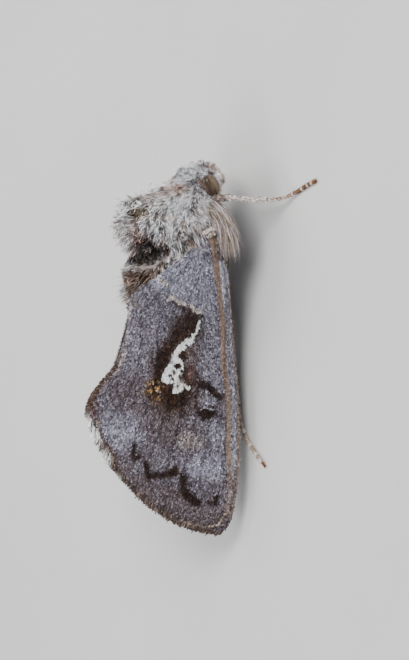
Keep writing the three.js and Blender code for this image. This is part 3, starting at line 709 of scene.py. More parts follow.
def finish(name, roughness, grain, grain_depth, bump, bump_scale, colour=None):
    material = bpy.data.materials.new(name)
    material.use_nodes = True
    nodes, links = material.node_tree.nodes, material.node_tree.links
    shader = nodes["Principled BSDF"]
    shader.inputs["Roughness"].default_value = roughness
    shader.inputs["Specular IOR Level"].default_value = GLOSS
    where = nodes.new("ShaderNodeTexCoord")
    noise = nodes.new("ShaderNodeTexNoise")
    noise.inputs["Scale"].default_value = grain
    noise.inputs["Detail"].default_value = 4
    links.new(where.outputs["Object"], noise.inputs["Vector"])
    tone = nodes.new("ShaderNodeMapRange")
    tone.inputs["From Min"].default_value = 0.3
    tone.inputs["From Max"].default_value = 0.7
    tone.inputs["To Min"].default_value = 1 - grain_depth
    tone.inputs["To Max"].default_value = 1 + grain_depth
    links.new(noise.outputs["Fac"], tone.inputs["Value"])
    mix = nodes.new("ShaderNodeVectorMath")
    mix.operation = "SCALE"
    if colour is None:
        carried = nodes.new("ShaderNodeVertexColor")
        carried.layer_name = "markings"
        links.new(carried.outputs["Color"], mix.inputs[0])
    else:
        mix.inputs[0].default_value = colour
    links.new(tone.outputs["Result"], mix.inputs["Scale"])
    links.new(mix.outputs["Vector"], shader.inputs["Base Color"])
    small = nodes.new("ShaderNodeTexNoise")
    small.inputs["Scale"].default_value = bump_scale
    small.inputs["Detail"].default_value = 3
    links.new(where.outputs["Object"], small.inputs["Vector"])
    relief = nodes.new("ShaderNodeBump")
    relief.inputs["Strength"].default_value = bump
    relief.inputs["Distance"].default_value = 0.00005
    links.new(small.outputs["Fac"], relief.inputs["Height"])
    links.new(relief.outputs["Normal"], shader.inputs["Normal"])
    return material


WING_FINISH = finish("wing_membrane", 0.75, grain=900, grain_depth=0.3, bump=0.6, bump_scale=9000)
SCALE_FINISH = finish("wing_scales", 0.6, grain=3000, grain_depth=0.12, bump=0.15, bump_scale=9000)
HAIR_FINISH = finish("hair", 0.65, grain=1500, grain_depth=0.12, bump=0.1, bump_scale=9000)
SKIN_FINISH = finish("skin_under_the_coat", 0.85, grain=1500, grain_depth=0.35, bump=0.5, bump_scale=6000)

# %% [markdown]
# ## The forewings
# A real forewing is a membrane stiffened by veins and tiled with scales on both faces. The membrane
# is a fine closed sheet whose own surface rises along each vein; the scales are laid on it next.
# Right and left come from one function: the left wing is the mirror twin, sitting a little ahead.

# %% Forewing membranes


FRINGE_START = 0.985


def on_side(points, side):
    """The right wing's points as they are, or mirrored, moved ahead and lowered beside the ridge."""
    if side == RIGHT:
        return points
    moved = points * MIRROR
    moved[..., 1] += 0.3 * ease(-1.0, 3.5, points[..., 1]) - WING["left_lead"]
    out, back = np.abs(points[..., 0]), points[..., 1]
    near_ridge = 1 - ease(0.3, 2.2, out)
    moved[..., 0] -= 0.3 * near_ridge * ease(-3.0, 0.0, back)
    moved[..., 2] -= near_ridge * (0.5 * ease(-3.0, 0.0, back) + 0.2 * ease(2.0, 4.5, back))
    moved[..., 2] -= 0.9 * ease(5.0, 8.0, back) * (1 - ease(3.0, 5.5, out))
    moved[..., 2] -= 0.7 * (1 - ease(-3.1, -1.6, back)) * (1 - ease(2.4, 4.0, out))
    return moved


def forewing(side):
    rows, columns = 140, 80
    u = np.linspace(0, FRINGE_START, rows)[:, None]
    v = np.linspace(0, 1, columns)[None, :]
    normal = wing_normal(u, v)
    flat = wing_point(u, v)
    thin = WING["thickness"] * np.minimum(1, 6 * np.minimum(v, 1 - v) + 0.25)
    ripple = 0.02 * patches(u * 40, v * 14, 1.0, 9)
    outer = flat + normal * (vein_rise(u, v) + ripple)[..., None]
    inner = flat - normal * (thin * np.ones_like(u))[..., None]
    inner[..., 0] = np.minimum(inner[..., 0], -0.12)
    colour = wing_colours(outer)[0]
    under = INK["under"] * (0.8 + 0.15 * patches(u * 30, v * 10, 1.0, 7))[..., None]
    colours = np.vstack([colour.reshape(-1, 3) * 0.75, under.reshape(-1, 3)])
    points = np.vstack([outer.reshape(-1, 3), inner.reshape(-1, 3)])
    name = SIDE_NAMES[side]
    faces = facing(sheet_faces(rows, columns), side)
    wing = add_mesh(f"forewing_membrane_{name}", on_side(points, side), faces)
    colour_points(wing, colours)
    wing.data.materials.append(WING_FINISH)
    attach(wing, "root")
    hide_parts(f"forewing_{name}")
    return wing


for side in (RIGHT, LEFT):
    forewing(side)
print("wing membranes made")

# %% [markdown]
# ## Scales on the wings
# Moth scales are tiny shingles, narrow at the foot and broad at the free end, that overlap towards
# the wing tip. Each is modelled as a flat closed wedge of six triangles, its foot sunk in the
# membrane and its end lifted a little. They are laid row by row along the wing, with their places,
# sizes and tilt varied, and each takes the colour of the marking it grows in.

# %% Laying scales
SCALE = {"length": 0.2, "half_width": 0.052, "rows": 0.088, "spread": 0.08, "lift": 0.045, "thick": 0.016}
WEDGE = np.array([[0, 1, 3], [1, 2, 3], [2, 0, 3], [1, 0, 4], [2, 1, 4], [0, 2, 4]])


def wedges(root, along, across, off, length, half_width, lift):
    """Closed wedge scales as points (n, 5, 3) on each root."""
    length, half_width, lift = (np.asarray(value)[:, None] for value in (length, half_width, lift))
    foot = root - off * 0.02
    end = root + along * length + off * lift
    left, right = end - across * half_width, end + across * half_width
    middle = root + along * length * 0.62 + off * (lift * 0.62)
    above, below = middle + off * SCALE["thick"], middle - off * SCALE["thick"] * 0.5
    return np.stack([foot, left, right, above, below], axis=1)


def lay(name, patterns, points, colours, places, material):
    """Joins many like pieces into one mesh with their colours and their patches of the unwrap."""
    count, corners = points.shape[:2]
    faces = (patterns[None] + corners * np.arange(count)[:, None, None]).reshape(-1, 3)
    piece = add_mesh(name, points.reshape(-1, 3), faces, smooth=False)
    if colours.ndim == 2:
        colours = np.repeat(colours, corners, axis=0)
    colour_points(piece, colours.reshape(-1, 3))
    angle = np.linspace(0, 2 * np.pi, corners, endpoint=False)
    patch = 0.0015 * np.stack([np.cos(angle), np.sin(angle)], axis=-1)
    unwrap_points(piece, (places[:, None] * 0.99 + 0.005 + patch[None]).reshape(-1, 2))
    piece.data.materials.append(material)
    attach(piece, "root")
    print(name, len(faces), "triangles")
    return piece


def scale_sheet(name, side, rng, u, v, surface, off, rise):
    """Lays scales on a surface that gives a place for each u and v."""
    root = surface(u, v)
    ahead_u = np.minimum(u + 0.01, 1)
    along = unit(surface(ahead_u, v) - surface(ahead_u - 0.02, v))
    across = unit(np.cross(off, along))
    turn = 0.22 * rng.standard_normal(len(u))[:, None]
    along, across = unit(along + across * turn), unit(across - along * turn)
    root = root + off * rise[:, None]
    colour, silver = wing_colours(root + along * 0.75 * SCALE["length"])
    length, half_width = (
        SCALE[key] * (1 + 0.25 * (2 * rng.random(len(u)) - 1)) for key in ("length", "half_width")
    )
    lift = SCALE["lift"] * (0.3 + 1.1 * rng.random(len(u)))
    points = on_side(wedges(root, along, across, off, length, half_width, lift), side)
    colour = speckled(colour, silver, rng)
    return lay(name, facing(WEDGE, side), points, colour, np.stack([u, v], -1), SCALE_FINISH)


def wing_scales(side):
    rng = np.random.default_rng(20 + side)
    u_rows = np.arange(0.004, FRINGE_START, SCALE["rows"] / span)
    u_list, v_list = [], []
    for u in u_rows:
        width = float(np.linalg.norm(wing_point(u, 0.0) - wing_point(u, 1.0)))
        count = max(4, int(width / SCALE["spread"]))
        v = (np.arange(count) + rng.random(count)) / count
        u_list.append(u + (rng.random(count) - 0.5) * SCALE["rows"] / span * 1.6)
        v_list.append(v)
    u = np.clip(np.concatenate(u_list), 0.001, FRINGE_START)
    v = np.clip(np.concatenate(v_list), 0.004, 0.996)
    name, normal = f"forewing_scales_{SIDE_NAMES[side]}", wing_normal(u, v)
    return scale_sheet(name, side, rng, u, v, wing_point, normal, vein_rise(u, v))


for side in (RIGHT, LEFT):
    wing_scales(side)

# %% [markdown]
# ## Where the wing meets the shoulder
# The leading edge of a forewing goes on past the sheet into a stout hinge, seen as a brown ridge
# with a pale knob at its end, and a small scaled web joins it to the shoulder. Both are short
# closed pieces that carry the wing's scales on to where the fan of hair covers them.

# %% Wing base
WEB_FRONT = [(2.72, 7.25, 3.5), (2.45, 7.2, 4.5)]
HINGE = [(3.12, 6.0, 3.62), (3.06, 6.6, 3.8), (2.82, 7.1, 3.95), (2.55, 7.5, 4.05)]


def web_point(u, v):
    u, v = np.broadcast_arrays(np.asarray(u, float), np.asarray(v, float))
    front = place(*WEB_FRONT[0]) * (1 - v[..., None]) + place(*WEB_FRONT[1]) * v[..., None]
    back = wing_point(np.full(u.shape, 0.012), v * 0.6)
    return front + (back - front) * u[..., None]


def wing_web(side):
    rng = np.random.default_rng(50 + side)
    rows, columns = 14, 14
    u, v = np.meshgrid(np.linspace(0, 1, rows), np.linspace(0, 1, columns), indexing="ij")
    outer = web_point(u, v)
    off = unit(np.cross(outer[-1, 0] - outer[0, 0], outer[0, -1] - outer[0, 0]))
    off = off if off[0] < 0 else -off
    flat = np.vstack([outer.reshape(-1, 3), (outer - 0.12 * off).reshape(-1, 3)])
    name = SIDE_NAMES[side]
    web = add_mesh(f"wing_web_{name}", on_side(flat, side), facing(sheet_faces(rows, columns), side))
    colour_points(web, np.broadcast_to(INK["ground"], flat.shape))
    web.data.materials.append(WING_FINISH)
    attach(web, "root")
    count = 900
    u, v = rng.random(count), rng.random(count)
    outward = np.broadcast_to(off, (count, 3))
    scale_sheet(f"wing_web_scales_{name}", side, rng, u, v, web_point, outward, np.zeros(count))


for side in (RIGHT, LEFT):
    wing_web(side)

# %% [markdown]
# ## The fringe
# Along its outer edge a moth's wing ends in a fringe of long, narrow scales, chequered pale and
# brown, with tufts towards the hind corner. The same wedge, drawn out, is set along the edge at an
# uneven depth, pointing outward, and once more round the hind corner.

# %% Fringe
WHITE_TUFTS = [(94, 428, 11, 17), (102, 458, 9, 9), (113, 480, 8, 8), (125, 497, 6, 5)]
RUSTY_TUFT = {"across": 104, "down": 410, "half_width": 6, "half_height": 10}


def fringe(side):
    rng = np.random.default_rng(40 + side)
    count, corner = 2600, 1100
    u = FRINGE_START - 0.012 * rng.random(count)
    v = np.clip(rng.random(count), 0.01, 0.995)
    outward = wing_point(np.ones(count), v) - wing_point(np.full(count, 0.97), v)
    u2 = 1 - 0.24 * rng.random(corner) ** 1.3
    v2 = 0.997 - 0.02 * rng.random(corner)
    inward = wing_point(u2, np.ones(corner)) - wing_point(u2, np.full(corner, 0.97))
    along = wing_point(np.minimum(u2 + 0.01, 1), v2) - wing_point(u2 - 0.01, v2)
    inward = unit(inward) + 0.9 * unit(along)
    u, v = np.concatenate([u, u2]), np.concatenate([v, v2])
    outward = np.concatenate([unit(outward), unit(inward)])
    on_corner = np.arange(len(u)) >= count
    count = len(u)
    root = wing_point(u, v)
    off = wing_normal(u, v)
    across = unit(np.cross(off, outward))
    turn = 0.2 * rng.standard_normal(count)[:, None]
    outward, across = unit(outward + across * turn), unit(across - outward * turn)
    p = drawing(root + outward * 0.3)
    tuft = np.clip(sum(spot(p, x, y, rx, ry) for x, y, rx, ry in WHITE_TUFTS), 0, 1)
    chequer = 0.5 + 0.5 * patches(v * 60, v * 0, 1.0, 3)
    colour = np.broadcast_to(INK["fringe"], root.shape) * (0.5 + 0.6 * chequer)[:, None]
    rusty = near(p[:, 1], RUSTY_TUFT["down"], RUSTY_TUFT["half_height"])
    rusty = rusty * near(p[:, 0], RUSTY_TUFT["across"], RUSTY_TUFT["half_width"])
    colour = blend(colour, "red", 0.45 * rusty * rng.random(count))
    colour = blend(colour, "silver", 0.9 * tuft * (rng.random(count) > 0.12) * (1 - rusty))
    colour = blend(colour, "rim", 0.5 * (rng.random(count) > 0.8))
    colour = colour * np.exp(0.3 * rng.standard_normal(count))[:, None]
    length = 0.22 + 0.14 * rng.random(count) + 0.12 * tuft + 0.24 * ease(0.62, 0.82, v) * ~on_corner
    length = length * np.where(on_corner, 0.8, 1.0)
    lift = 0.09 * rng.standard_normal(count)
    half_width = 0.032 + 0.014 * ease(0.3, 0.5, length)
    points = on_side(wedges(root, outward, across, off, length, half_width, lift), side)
    name, colour, places = f"fringe_{SIDE_NAMES[side]}", np.clip(colour, 0, 1), np.stack([u, v], -1)
    return lay(name, facing(WEDGE, side), points, colour, places, SCALE_FINISH)


for side in (RIGHT, LEFT):
    fringe(side)

# %% [markdown]
# ## The body's skin
# Head, thorax and abdomen of a moth are a firm shell under the coat, so little of it shows. It is
# made as one closed loft from the mouth to the tail, so that no seam opens where the hair parts.
# Each stop tells how far ahead it is, its half width, and how high the belly and the back are, and
# smooth curves run between the stops.

# %% Skin
BODY_STOPS = np.array([
    (10.5, 0.15, 3.55, 3.95), (10.35, 0.7, 3.05, 4.4), (9.95, 1.12, 2.8, 4.85), (9.4, 1.25, 2.75, 5.05),
    (8.95, 1.2, 2.7, 5.3), (8.5, 1.5, 2.55, 5.95), (7.9, 1.8, 2.45, 6.75), (7.2, 1.95, 2.4, 7.05),
    (6.2, 1.98, 2.35, 6.85), (5.0, 1.85, 2.35, 6.3), (3.8, 1.6, 2.35, 5.9), (2.4, 1.3, 2.3, 5.1),
    (0.5, 1.22, 2.2, 4.55), (-2.0, 1.15, 1.9, 4.15), (-4.5, 0.95, 1.7, 3.6), (-6.3, 0.6, 1.8, 3.1),
    (-7.1, 0.15, 2.25, 2.6),
])
BODY_SHARES = np.linspace(0, 1, len(BODY_STOPS))


def body_section(t):
    slope = np.gradient(BODY_STOPS, BODY_SHARES, axis=0)
    place_in = np.clip(np.asarray(t, float) * (len(BODY_STOPS) - 1), 0, len(BODY_STOPS) - 1.000001)
    k = place_in.astype(int)
    s = (place_in - k)[..., None]
    step = 1 / (len(BODY_STOPS) - 1)
    return (
        (2 * s ** 3 - 3 * s ** 2 + 1) * BODY_STOPS[k] + (s ** 3 - 2 * s ** 2 + s) * slope[k] * step
        + (3 * s ** 2 - 2 * s ** 3) * BODY_STOPS[k + 1] + (s ** 3 - s ** 2) * slope[k + 1] * step
    )


def body_point(t, angle):
    """A place on the skin: t runs from the mouth to the tail, the angle from the top outward."""
    section = body_section(t)
    ahead, half, belly, back = (section[..., k] for k in range(4))
    tilt = 0.12 * ease(8.9, 9.8, ahead) * (ahead - 8.9)
    up = np.cos(angle)
    height = (belly + back) / 2 + (back - belly) / 2 * up
    out = half * np.sin(angle) * (1 - 0.18 * np.clip(up, 0, 1) ** 2)
    return place(out + tilt, ahead, height)


def body_normal(t, angle, step=0.004):
    along = body_point(np.minimum(t + step, 1), angle) - body_point(np.maximum(t - step, 0), angle)
    around = body_point(t, angle + 0.02) - body_point(t, angle - 0.02)
    return unit(np.cross(along, around))


# %% [markdown]
# ## Colours of the coat
# Each tuft keeps one tone from root to tip, with the tips frosted: a pink-brown collar, whitish fluff
# on the shoulders, rust and olive spots on the crest, a dark brown hollow behind it, darkened further
# by painted shade under the crest, and a brown tuft at the hind end. They are laid out on the same
# drawing plane as the wing's markings.

# %% Coat colours
INK.update(inks(
    fuzz="b1a29b", pale_fuzz="e8d8d0", white="f2f3f9", face="e0c9bc", collar="e6cfc6", olive="6d5f45",
    rusty="5f4035", warm="987f71", hollow="2a2220", strand="a8a09c", hind="6c523d", fan="8f7d6c",
    blob="dccbc1", joint="8b5a38", belly="8b7d72", abdomen="857669",
))
FLUFF = [
    (113, 214), (140, 193), (172, 188), (196, 200), (208, 214), (205, 245), (178, 258), (150, 232),
    (122, 230),
]
FACE = [(168, 156), (230, 156), (230, 205), (214, 208), (190, 192), (168, 190)]
HOLLOW = [(131, 246), (146, 243), (162, 243), (170, 250), (164, 263), (146, 268), (131, 262)]
STRANDS = [(112, 212), (130, 222), (131, 262), (122, 268), (112, 240)]
HIND_TUFT = [(116, 272), (156, 272), (156, 292), (134, 300), (116, 296)]
COLLAR = [(150, 193), (190, 189), (214, 199)]
COLLAR_LINES = [(156, 193), (190, 189), (214, 199)]
COLLAR_BAND = [(150, 199), (190, 198), (214, 207)]
SHOULDER_LINE = [(170, 233), (180, 243), (190, 250), (200, 236)]
HOLLOW_RIM = [(134, 268), (145, 272), (155, 269), (160, 259), (175, 246)]
FAN_LINE = [(211, 212), (226, 228), (236, 246), (236, 258)]
WHITE_SHOULDER, WHITE_CREST, WHITE_FACE = (178, 214, 15, 11), (165, 230, 20, 16), (192, 170, 20, 11)
DARK_BY_THE_EYE = (212, 169, 4, 4.5)
WHITE_CLUMPS = [
    (188, 170, 14), (190, 174, 12), (198, 184, 11), (207, 207, 8), (186, 208, 10), (153, 232, 11),
    (208, 200, 8), (125, 216, 6), (210, 222, 7),
]
OLIVE_SPOT, RUSTY_SPOT = (139, 215.5, 10, 7), (143, 240, 12, 7.5)
HIND_LIGHT, HIND_FROST = (121, 290, 7, 10), (121, 290, 9, 11)
SHOULDER_SPOTS = [
    ("joint", 0.8, (207, 239, 4.5, 4)), ("blob", 0.9, (208, 229, 4.5, 4.5)),
    ("blob", 0.85, (216.5, 231.5, 4, 5)),
]


def in_the_hollow(p):
    return field(p, HOLLOW, 4)


print("inks of wing and coat:", len(INK))

# %% [markdown]
# ## Shoulders, face and collar
# The hair of the shoulders and the face is nearly white, and fine lines cross the collar. The lines
# follow the distance from one curve, so that they stay parallel, which single strokes wouldn't.

# %% Colours of the shoulders, the face and the collar


def fluff_and_face(colour, q, x, y):
    colour = blend(colour, "pale_fuzz", 0.8 * field(q, FLUFF, 7))
    colour = blend(colour, "white", 0.9 * spot(q, *WHITE_SHOULDER))
    colour = blend(colour, "white", 0.6 * spot(q, *WHITE_CREST) * (0.5 + 0.5 * patches(x, y, 5, 14)))
    colour = blend(colour, "face", 0.85 * field(q, FACE, 4))
    colour = blend(colour, "white", 0.6 * spot(q, *WHITE_FACE))
    return blend(colour, "hollow", 0.75 * spot(q, *DARK_BY_THE_EYE) * ease(-0.3, 0.4, patches(x, y, 1.6, 16)))


def collar_and_warm_hair(colour, p, q, collar, warm, x, y):
    colour = blend(colour, "collar", 0.9 * collar)
    colour = blend(colour, "warm", 0.75 * warm)
    for x_at, y_at, reach in WHITE_CLUMPS:
        colour = blend(colour, "white", 0.55 * spot(q, x_at, y_at, reach, reach))
    colour = blend(colour, "warm", 0.6 * stroke(q, SHOULDER_LINE, 3, 3))
    band = stroke_distance(p, COLLAR_BAND) + 0.8 * patches(x, y, 3, 21)
    lines = 0.5 + 0.5 * np.sin(2.1 * band)
    return blend(colour, "rusty", 0.55 * ease(0.45, 0.9, lines) * stroke(q, COLLAR_LINES, 6, 4))


# %% [markdown]
# ## Crest and hollow
# The crest is olive and rust on top, with a deep brown hollow behind it, darkened further by painted
# shade for the shadow under the crest. The hollow is a function of its own, because the hair there
# is also shorter.

# %% Colours of the crest, the hollow and the whole coat


def coat_colours(points):
    """Colour at places of the coat, by where they fall on the drawing plane, and how frosted it is."""
    words = points.copy()
    far = words[..., 0] > 0.9
    words[far, 0] *= -1
    p = drawing(words)
    x, y = p[..., 0], p[..., 1]
    ruffle = np.stack([patches(x, y, 4, 11), patches(x, y, 4, 12)], axis=-1)
    q = p + 2.0 * ruffle
    ahead = ORIGIN_SHIFT - points[..., 1]
    height = points[..., 2]
    collar = stroke(q, COLLAR, 6, 4)
    warm = ease(-0.1, 0.35, patches(x, y, 6, 17))
    colour = np.broadcast_to(INK["fuzz"], points.shape).copy()
    colour = colour * (1 + 0.35 * patches(x, y, 9, 13))[..., None]
    colour = fluff_and_face(colour, q, x, y)
    colour = collar_and_warm_hair(colour, p, q, collar, warm, x, y)
    # The hollow's dark brown is partly painted shade, the shadow under the overhanging crest.
    olive, rusty, hollow = spot(q, *OLIVE_SPOT), spot(q, *RUSTY_SPOT), in_the_hollow(q)
    for ink, strength in (("olive", 0.85 * olive), ("rusty", 0.85 * rusty), ("hollow", 0.82 * hollow)):
        colour = blend(colour, ink, strength)
    colour = blend(colour, "white", 0.35 * stroke(p, HOLLOW_RIM, 1.0, 1.2))
    colour = blend(colour, "strand", 0.8 * field(q, STRANDS, 4))
    hind = field(q, HIND_TUFT, 4)
    colour = blend(colour, "hind", 0.9 * hind)
    colour = blend(colour, "white", 0.9 * spot(q, *HIND_LIGHT))
    colour = blend(colour, "fan", 0.9 * stroke(q, FAN_LINE, 8, 5))
    for ink, strength, where in SHOULDER_SPOTS:
        colour = blend(colour, ink, strength * spot(q, *where))
    colour = blend(colour, "belly", 0.8 * (1 - ease(2.4, 3.3, height)) * (ahead < 9.2))
    behind = 1 - ease(1.6, 2.6, ahead)
    unfrosted_hind = 0.8 * hind * (1 - spot(q, *HIND_FROST))
    coloured = np.clip(0.8 * warm + 0.8 * collar + olive + rusty + hollow + unfrosted_hind + behind, 0, 1)
    return blend(colour, "abdomen", behind), 1 - 0.85 * coloured


def clumps(points):
    """Light and dark clumps, a little wider than a hair."""
    p = drawing(points)
    x, y = p[..., 0], p[..., 1]
    light = patches(x, y, 2.3, 18) + 0.5 * patches(x, y, 5, 19) + 0.1
    return np.where(light < 0, 2.3 * light, 0.6 * light)


# %% [markdown]
# ## One skin
# The skin's grid goes right round the body and ends in one point at the mouth and one at the tail.
# Joining three balls with a remesh would also close it, but a grid keeps its points in rings.

# %% The skin itself


def body_skin():
    rows, columns = 220, 96
    t = np.linspace(0, 1, rows)[:, None]
    angle = np.linspace(-np.pi, np.pi, columns, endpoint=False)[None, :]
    normal = body_normal(np.clip(t, 0.002, 0.998) * np.ones_like(angle), angle * np.ones_like(t))
    unevenness = 0.04 * patches(t * 120, np.abs(angle) * 8, 1.0, 15)
    flat = (body_point(t, angle) + normal * unevenness[..., None]).reshape(-1, 3)
    quads = grid_faces(rows, columns, wrap=True)
    nose, tail = len(flat), len(flat) + 1
    flat = np.vstack([flat, flat[:columns].mean(axis=0), flat[-columns:].mean(axis=0)])
    last = (rows - 1) * columns
    caps = [[nose, (k + 1) % columns, k] for k in range(columns)]
    caps += [[tail, last + k, last + (k + 1) % columns] for k in range(columns)]
    triangles = np.vstack([quads[:, [0, 1, 2]], quads[:, [0, 2, 3]], np.array(caps)])
    skin = add_mesh("skin", flat, triangles)
    colour_points(skin, coat_colours(flat)[0] * 0.3)
    skin.data.materials.append(SKIN_FINISH)
    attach(skin, "root")
    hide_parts("head", "thorax", "abdomen")
    return skin


body_skin()
print("skin made")

# %% [markdown]
# ## How the coat lies
# The coat of a noctuid is long hair mixed with narrow scales. It stands up in crests over the
# thorax, falls as a fan past the shoulder, lies short on the face and points back on the abdomen.
# A few combed places, each with a length and a direction (outward, backward, up), are blended by
# nearness, as a groom is combed by guides.

# %% Lie of the coat
LIE = np.array([
    # ahead, degrees from the top, length, outward, backward, up
    (10.4, 0, 0.55, 0, -0.9, 0.5), (10.0, 0, 0.6, 0, -0.3, 1), (9.3, 0, 0.6, 0, 0.1, 1),
    (9.9, 35, 0.5, 0.2, -0.2, 1), (10.2, 60, 0.3, 0.4, -0.7, 0.4), (9.6, 60, 0.35, 0.6, 0.2, 0.7),
    (9.8, 112, 0.6, 1, -0.1, -0.35), (10.3, 150, 0.5, 0.1, -0.8, -0.5), (9.6, 180, 0.4, 0, 0.4, -0.8),
    (8.5, 0, 1.15, 0, 0.6, 1), (8.5, 50, 0.8, 0.6, 0.5, 0.7), (8.5, 90, 1.0, 0.9, 0.4, -0.2),
    (8.4, 130, 0.9, 0.6, 0.5, -0.6), (8.4, 180, 0.7, 0, 0.6, -0.6), (7.7, 0, 1.8, 0, 0.5, 1),
    (7.0, 0, 1.9, 0, 0.65, 1), (6.2, 0, 1.75, 0, 0.9, 0.9), (5.5, 0, 1.4, 0, 0.9, 0.7),
    (4.8, 0, 0.5, 0, 0.6, 0.5), (4.8, 25, 0.35, 0, 0.8, 0.3), (7.2, 35, 1.7, 0.35, 0.7, 0.7),
    (6.2, 40, 1.05, 0.35, 1, 0.5), (5.2, 40, 0.32, 0.3, 1, 0.2), (4.5, 45, 0.4, 0.3, 1, 0.2),
    (7.6, 70, 0.75, 0.55, 0.9, 0.2), (6.5, 70, 0.6, 0.4, 1, 0.2), (7.9, 90, 1.12, 0.75, 0.85, -0.45),
    (7.2, 90, 0.75, 0.6, 0.9, -0.4), (8.0, 110, 1.0, 0.8, 0.5, -0.7), (7.0, 150, 0.9, 0.2, 0.9, -0.4),
    (5.0, 180, 0.7, 0, 1, -0.2), (5.0, 100, 0.9, 0.3, 1, -0.1), (3.9, 0, 1.7, 0, 0.55, 1),
    (3.3, 0, 1.85, 0, 0.8, 1), (3.9, 40, 0.7, 0.2, 1, 0.1), (1.0, 0, 0.7, 0, 1, 0.3),
    (1.0, 120, 0.5, 0.15, 1, 0), (-2.0, 60, 0.5, 0.15, 1, 0.1), (-5.0, 60, 0.6, 0.15, 1, 0.1),
    (-7.0, 60, 1.2, 0, 1, 0), (-7.0, 160, 1.2, 0, 1, 0),
])


def lie(ahead, degrees):
    """Length and direction of the coat at places on the skin, right side."""
    gap = ((ahead[:, None] - LIE[None, :, 0]) / 1.0) ** 2 + ((degrees[:, None] - LIE[None, :, 1]) / 38) ** 2
    weight = 1 / (gap + 0.03) ** 2
    weight /= weight.sum(axis=1, keepdims=True)
    combed = weight @ LIE[:, 2:]
    return combed[:, 0], unit(combed[:, 1:])


# %% [markdown]
# ## Growing hair
# Each hair is a closed three-sided blade that leaves the skin steeply, bends along the lie and
# tapers to a point. Tips lean together into tufts. Even rows would look combed by a machine, so
# length, bend and tone vary, and the pale tip comes from the colour of the last points.

# %% Hair
HAIR_RINGS = (0.0, 0.4, 0.75)
BLADE = []
for ring in range(len(HAIR_RINGS) - 1):
    for k in range(3):
        a, b = 3 * ring + k, 3 * ring + (k + 1) % 3
        BLADE += [[a, b, b + 3], [a, b + 3, a + 3]]
for k in range(3):
    BLADE.append([6 + k, 6 + (k + 1) % 3, 9])
BLADE.append([2, 1, 0])
BLADE = np.array(BLADE)


def blades(root, bend, tip, width, flatness=0.5, broad=0.0):
    """Blades from root through bend to tip, as points (n, 10, 3), broadest near the tip if broad."""
    side = unit(np.cross(tip - root, bend - root) + 1e-4 * np.array([1.0, 0.3, 0.2]))
    rings = []
    for share in HAIR_RINGS:
        middle = (1 - share) ** 2 * root + 2 * share * (1 - share) * bend + share ** 2 * tip
        ahead = unit(2 * (1 - share) * (bend - root) + 2 * share * (tip - bend))
        face = unit(np.cross(ahead, side))
        half = (width * ((1 - broad) * (1 - 0.55 * share) + broad * (0.35 + 0.95 * share)))[:, None] / 2
        for k in range(3):
            angle = 2 * np.pi * k / 3 + 0.5
            rings.append(middle + half * (side * math.cos(angle) + face * flatness * math.sin(angle)))
    rings.append(tip)
    return np.stack(rings, axis=1)


def root_shade_tip_light(first, second, third, last):
    """Painted shade at the three rings and painted light at the point of a blade: how bright each is."""
    return np.array([first] * 3 + [second] * 3 + [third] * 3 + [last])[None, :, None]


def gathered(root, tip, rng, spacing, pull):
    """Leans the tips towards the tips of chosen neighbours, so that the hair stands in tufts."""
    chosen = rng.permutation(len(root))[: max(8, int(len(root) * spacing))]
    tree = kdtree.KDTree(len(chosen))
    for index, k in enumerate(chosen):
        tree.insert(root[k], index)
    tree.balance()
    owner = np.array([chosen[tree.find(r)[1]] for r in root])
    amount = pull * (0.4 + 0.6 * rng.random(len(root)))[:, None]
    return tip + amount * (tip[owner] - tip), owner


# %% [markdown]
# ## Room for the eyes and the wings
# A moth's hair grows round its eyes and lies over or under the root of the wing. Each hair's tip is
# compared with the eyes, and its points with the nearest place of the wing. That is rougher than a
# test for crossing faces, but quick enough for tens of thousands of hairs.

# %% Where the coat keeps clear
EYE_MIDDLE = place(1.6, 9.86, 3.64)
EYE_CLEAR = np.array([0.5, 0.46, 0.36])
LEFT_EYE_LAG = 0.55
BEHIND_THE_COLLAR = 6.9
WING_REACH = 0.9
WING_ACROSS = np.linspace(0, 1, 120)[:, None], np.linspace(0, 1, 60)[None, :]
WING_TOP = wing_point(*WING_ACROSS).reshape(-1, 3)
WING_OUT = wing_normal(*WING_ACROSS).reshape(-1, 3)
wing_tree = kdtree.KDTree(len(WING_TOP))
for index, corner in enumerate(WING_TOP):
    wing_tree.insert(corner, index)
wing_tree.balance()


def clear_of_the_eyes(tip):
    beside = np.stack([np.abs(tip[:, 0]), tip[:, 1] - LEFT_EYE_LAG * (tip[:, 0] > 0), tip[:, 2]], -1)
    return np.linalg.norm((beside - EYE_MIDDLE * MIRROR) / EYE_CLEAR, axis=1) > 1


def keep_off_the_wings(points, above=0.12, below=0.75):
    """Hair that touches the wing is lifted onto it, and hair that grows well under it stays under it."""
    moved = points.copy()
    for k, point in enumerate(points):
        right = point.copy()
        flipped = right[0] > 0
        if flipped:
            right = right * MIRROR + [0, WING["left_lead"], 0]
        if ORIGIN_SHIFT - right[1] > BEHIND_THE_COLLAR:
            continue
        _, index, distance = wing_tree.find(right)
        if distance > WING_REACH:
            continue
        depth = float((right - WING_TOP[index]) @ WING_OUT[index])
        if -below < depth < above:
            push = (above - depth) * WING_OUT[index]
            moved[k] += push * MIRROR if flipped else push
    return moved


# %% [markdown]
# ## The shape of a coat
# Hair grows in tufts that share a curl. Blender's own hair would be quicker to comb, but it isn't a
# solid mesh. Here a coat begins with places on the skin, then gets tips along the lie, and last a
# bend for each hair, so that one function makes face, crest and belly from a few numbers.

# %% Roots, tips and bends of a coat
PLAIN_COAT = {
    "width": 0.06, "pull": 0.6, "spread": 0.22, "spacing": 0.02, "frost": 0.6, "broad": 0.35, "contrast": 1.0,
    "dusk": 0.34, "start": 0.0, "curl": 0.12, "only": 0, "comb": None,
}
print("settings of a coat:", len(PLAIN_COAT))
SKIN_STEPS = 800


